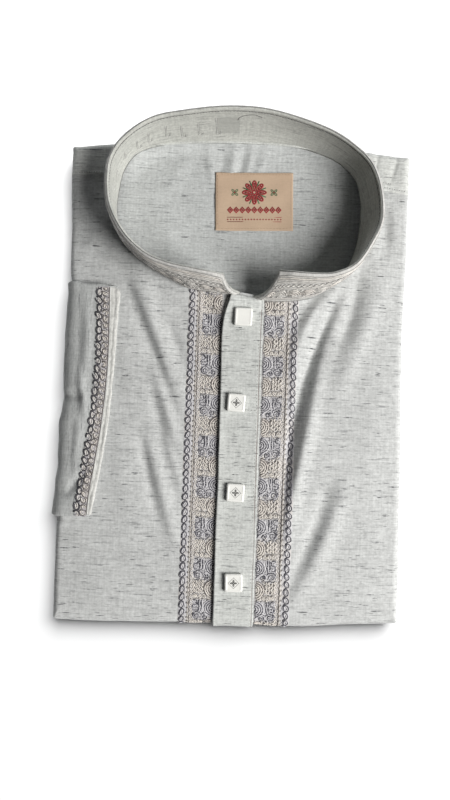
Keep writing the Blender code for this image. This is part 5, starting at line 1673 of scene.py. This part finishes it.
def make_collar_embroidery():
    kinds = {tone: Threads(4) for tone in ("cream", "taupe", "ivory", "blush")}
    far = float(band_length(1.0))
    grid_s = np.linspace(0, far, 500)
    grid_high = band_height(band_share(grid_s))

    def lay(tone, radius, points, base=0.0):
        s = points[:, 0] + 0.14 * wander(points[:, 0] / 1.7, points[:, 1] / 1.7, 95)
        d = points[:, 1] + 0.14 * wander(points[:, 0] / 1.7, points[:, 1] / 1.7, 96)
        high = np.interp(s, grid_s, grid_high)
        keep = (s > 3.0) & (s < far - 1.6) & (d > 1.1) & (d < high - 0.9)
        for run in split_runs(np.stack([s, d], -1), keep):
            kinds[tone].later(run[:, 0], run[:, 1], 0.06 + radius * 0.4 + base, radius, 0.8)

    s = np.arange(0, far, 1.1)
    for down, tone, radius in (
        (1.8, "taupe", 0.22), (2.7, "ivory", 0.42), (3.7, "taupe", 0.24), (4.6, "cream", 0.42),
        (5.6, "taupe", 0.26), (6.6, "ivory", 0.42), (7.6, "taupe", 0.24), (8.5, "ivory", 0.38), (9.3, "taupe", 0.22),
    ):
        lay(tone, radius, np.stack([s, down + 0.22 * np.sin(s / 3.1 + down) + 0.18 * wander(s / 2.1, down, 97)], -1))
    q = np.arange(0, far, 0.7)
    for k in (1, -1):
        lay("taupe", 0.30, np.stack([q, 12.4 + k * 1.9 * np.sin(q * PI / 4.4)], -1), 0.06 * k + 0.08)
        lay("ivory", 0.34, np.stack([q, 12.4 + k * 1.1 * np.sin(q * PI / 4.4 + 0.3)], -1), 0.0)
    lay("ivory", 0.34, np.stack([s, 15.1 + 0.15 * np.sin(s / 2.0)], -1))
    lay("taupe", 0.24, np.stack([s, 15.9 + 0.15 * np.sin(s / 2.0)], -1))
    # Lower field: overlapping nested arcs standing on the seam, each with a thin taupe cord outside it as its painted
    # shadow line.
    k = 0
    x = 2.0
    while x < far:
        for r in (1.3, 2.8, 4.3, 5.8):
            lay(("ivory", "blush", "cream")[k % 3], 0.38, arc(x, 25.0, r, PI * 1.04, PI * 1.96, ry=r * 1.25))
            lay("taupe", 0.24, arc(x, 25.0, r + 0.72, PI * 1.04, PI * 1.96, ry=(r + 0.72) * 1.25))
        for y0 in (18.6, 21.6):
            lay("taupe", 0.26, spiral(x + 5.4, y0, 0.3, 1.3, 1.2, k + y0, 9))
            lay("ivory", 0.30, arc(x + 5.4, y0, 0.7, 0.3, 5.2, 7))
        x += 10.8
        k += 1
    for (ps, pd), pick, points in small_arcs(1.0, far - 1.0, 16.6, 27.0, 2.0, 340):
        dark_one = pick > 0.1
        lay("taupe" if dark_one else "ivory", 0.20 if dark_one else 0.30, points, -0.04)
    lay("taupe", 0.28, np.stack([s, np.full_like(s, 27.0)], -1))
    lay("ivory", 0.36, np.stack([s, np.full_like(s, 28.2)], -1))
    lay("taupe", 0.24, np.stack([s, np.full_like(s, 29.4)], -1))
    made = []
    for tone, material, slot in (
        ("cream", thread_cream, "thread_light"), ("taupe", thread_taupe, "embroidery"),
        ("ivory", thread_ivory, "thread_light"), ("blush", thread_blush, "thread_light"),
    ):
        kinds[tone].settle(band_face)
        piece = kinds[tone].make(f"collar_{tone}", material)
        made.append(piece)
    return made


# ----------------------------------------------------------------- stitches
def stitch_run(threads, points, place_, pitch=2.6, part=0.72, radius=0.17, sink=0.14):
    """Machine stitches along a way of cut coordinates."""
    points = np.asarray(points, float)
    run = np.concatenate([[0], np.cumsum(np.linalg.norm(np.diff(points, axis=0), axis=1))])
    for j in range(int(run[-1] / pitch)):
        at = (j + np.linspace(0, part, 4)) * pitch
        u, v = np.interp(at, run, points[:, 0]), np.interp(at, run, points[:, 1])
        threads.later(u, v, np.array([-sink, 0.4 * radius, 0.4 * radius, -sink]), radius, 0.75)
    threads.settle(place_)


def make_stitches():
    light, grey = Threads(4), Threads(4)
    # Shoulder seams, double; the rows nearest the seams are dark grey thread, partly painted shade of the seam's edge.
    for x0, x1, shift in ((-109, -84, 1.5), (-109, -84, 6.4), (97, 123, 2.2), (96, 114, 5.6)):
        x = np.linspace(x0, x1, 30)
        stitch_run(grey if shift < 6 else light, np.stack([x, seam_line(x) + shift], -1), lambda u, v, o: front_point(u, v, o + 0.87), 1.75, 0.52, 0.24, 0.2)
    # Placket: beside its right edge, and the short row across.
    v = np.linspace(-165, 63, 120)
    on_placket = lambda u, v, o: front_point(u, v, o + 3.0)
    rose = Threads(4)
    rose.later(np.full_like(v, PLACKET_RIGHT - 1.5) + 0.10 * wander(v / 5, 0.5, 98), v, -0.36, 0.24, 0.8)
    rose.settle(on_placket)
    stitch_run(light, np.stack([np.full_like(v, PLACKET_RIGHT - 2.4), v], -1), on_placket, 2.5, 0.80, 0.17)
    x = np.linspace(-1.5, 22.5, 20)
    stitch_run(grey, np.stack([x, -7.5 + 0.012 * x], -1), on_placket, 2.4, 0.74, 0.15)
    # Collar: the row under the turned edge on the inner ply.
    far = float(band_length(1.0))

    def on_inner(s, down, off):
        t = band_share(s)
        f = 1 - down / band_height(t)
        p = band_at(t, f, -1.38 - off)
        ox, oy = band_frame(t)[5:7]
        n = np.stack([-ox, -oy, 0.3 * np.ones_like(ox)], -1)
        return p, n / np.linalg.norm(n, axis=-1, keepdims=True)

    s = np.linspace(2, far - 2, 300)
    stitch_run(grey, np.stack([s, np.full_like(s, 2.95)], -1), on_inner, 2.0, 0.88, 0.24, 0.2)
    # A continuous grey cord just under the stitch row is painted shade under the turned edge.
    p, n = on_inner(s, np.full_like(s, 3.05), -0.12)
    grey.cord(p, n, 0.17, flat=0.8)
    # Pad stitches: small slanted hooks down the inner ply.
    for s0, d0, s1, d1 in (
        (131.7, 18.5, 127.1, 21.0), (142.1, 17.5, 138.2, 20.5), (155.9, 15.5, 151.2, 21.0), (165.8, 14.5, 164.3, 23.6),
        (174.7, 13.5, 173.0, 22.5), (186.6, 12.0, 185.7, 22.0), (196.7, 14.0, 196.7, 24.5), (208.6, 12.6, 208.4, 24.0),
        (221.0, 9.5, 221.2, 24.0),
    ):
        hook = smooth_line([(s0, d0), ((s0 + s1) / 2, (d0 + d1) / 2), (s1, d1), (s1 + 1.4, d1 + 0.9), (s1 + 2.6, d1 - 0.3), (s1 + 2.7, d1 - 2.4)], 4)
        p, n = on_inner(hook[:, 0], hook[:, 1], 0.07)
        light.cord(p, n, 0.42, flat=0.8)
        # A thin grey cord beside each hook is its painted shadow.
        p, n = on_inner(hook[:, 0] + 0.6, hook[:, 1] + 0.1, 0.0)
        grey.cord(p, n, 0.12, flat=0.5)
    # A loose end of thread over the backing's corner.
    curl = smooth_line([(235.3, 12.0), (236.5, 9.5), (238.6, 8.0), (242.0, 6.6), (246.2, 6.0), (249.0, 6.8), (251.6, 8.0)], 5)
    p, n = on_inner(curl[:, 0], curl[:, 1], 0.05)
    grey.cord(p, n, 0.24, flat=0.8)
    made = []
    for name, threads, material, slot in (("stitches_light", light, stitch_light, "thread_light"), ("stitches_grey", grey, stitch_grey, "embroidery"), ("placket_stitch_line", rose, stitch_rose, "embroidery")):
        piece = threads.make(name, material)
        made.append(piece)
    return made


# ------------------------------------------------------------ camera, lights
def set_stage():
    target = Vector((-CENTRE[0], -CENTRE[1], 0.0)) * MM
    tilt, roll, distance = math.radians(2.0), math.radians(2.0), 0.540
    back = Vector((0, -math.sin(tilt), math.cos(tilt)))
    side, up = Vector((1, 0, 0)), Vector((0, math.cos(tilt), math.sin(tilt)))
    right = side * math.cos(roll) + up * math.sin(roll)
    above = up * math.cos(roll) - side * math.sin(roll)
    data = bpy.data.cameras.new("camera")
    data.sensor_fit = "AUTO"
    data.sensor_width = 36.0
    data.lens = 743.0 / 800.0 * 36.0
    data.clip_start, data.clip_end = 0.02, 20.0
    camera = bpy.data.objects.new("camera", data)
    turn = Matrix((right, above, back)).transposed()
    camera.matrix_world = Matrix.Translation(target + back * distance) @ turn.to_4x4()
    bpy.context.scene.collection.objects.link(camera)
    bpy.context.scene.camera = camera

    floor_mesh = bpy.data.meshes.new("floor")
    floor_mesh.from_pydata([(-4, -4, 0), (4, -4, 0), (4, 4, 0), (-4, 4, 0)], [], [(0, 1, 2, 3)])
    floor = bpy.data.objects.new("floor", floor_mesh)
    bpy.context.scene.collection.objects.link(floor)
    # The paper glows a little, so that shadows on it stay pale.
    paper = Graph("paper", (0.80, 0.80, 0.80), 0.9, specular=0.1, uv=False)
    paper.set("Emission Color", (1.0, 1.0, 1.0, 1))
    paper.set("Emission Strength", 0.03)
    floor.data.materials.append(paper.material)
    floor.location.z = -0.0003

    world = bpy.data.worlds.new("world")
    world.use_nodes = True
    world.node_tree.nodes["Background"].inputs[0].default_value = (0.93, 0.96, 1.0, 1)
    world.node_tree.nodes["Background"].inputs[1].default_value = WORLD_LIGHT
    bpy.context.scene.world = world

    # One lamp lights the paper alone, and the others the garment alone.
    paper_only = bpy.data.collections.new("paper_only")
    not_paper = bpy.data.collections.new("not_paper")
    for group, state in ((paper_only, "INCLUDE"), (not_paper, "EXCLUDE")):
        group.objects.link(floor)
        group.collection_objects[0].light_linking.link_state = state
    for name, azimuth, elevation, far, size, power, colour in LIGHTS:
        lamp = bpy.data.lights.new(name, "AREA")
        lamp.shape, lamp.size, lamp.energy, lamp.color = "DISK", size, power, colour
        obj = bpy.data.objects.new(name, lamp)
        a, e = math.radians(azimuth), math.radians(elevation)
        out = Vector((math.cos(a) * math.cos(e), math.sin(a) * math.cos(e), math.sin(e)))
        obj.location = out * far
        obj.rotation_mode = "QUATERNION"
        obj.rotation_quaternion = out.to_track_quat("Z", "Y")
        bpy.context.scene.collection.objects.link(obj)
        obj.light_linking.receiver_collection = paper_only if name == "paper" else not_paper
    bpy.context.scene.view_settings.view_transform = "Standard"


WORLD_LIGHT = 0.035
LIGHTS = (
    # name   azimuth elevation distance size power colour
    ("key", -22.0, 44.5, 1.50, 0.90, 34.0, (1.0, 0.985, 0.965)),
    ("fill", 150.0, 62.0, 1.60, 1.20, 0.3, (0.93, 0.96, 1.0)),
    ("paper", 60.0, 52.0, 2.20, 2.20, 117.0, (1.0, 1.0, 1.0)),
    ("rim", 85.0, 9.0, 1.50, 0.80, 7.0, (0.96, 0.98, 1.0)),
)


# --------------------------------------------------------------------- build
set_stage()
front = make_front()
back = make_back()
bowl = make_bowl()
stack = make_stack()
collar_outer = make_ply("collar_outer_cloth", 1, cloth_band_out, "collar_outer")
collar_inner = make_ply("collar_inner_cloth", -1, cloth_band, "collar_inner")
under = make_placket("placket_under_cloth", "placket_under", 0.25, 1.15, 1.6, 0.0)
upper = make_placket("placket_upper_cloth", "placket_upper", 1.45, 3.05, 0.0, 0.9)
sleeve = make_sleeve()
facing = make_facing()
label, label_marks = make_label()
buttons = make_buttons()
borders = make_borders()
cuff = make_cuff_embroidery()
collar_threads = make_collar_embroidery()
stitches = make_stitches()
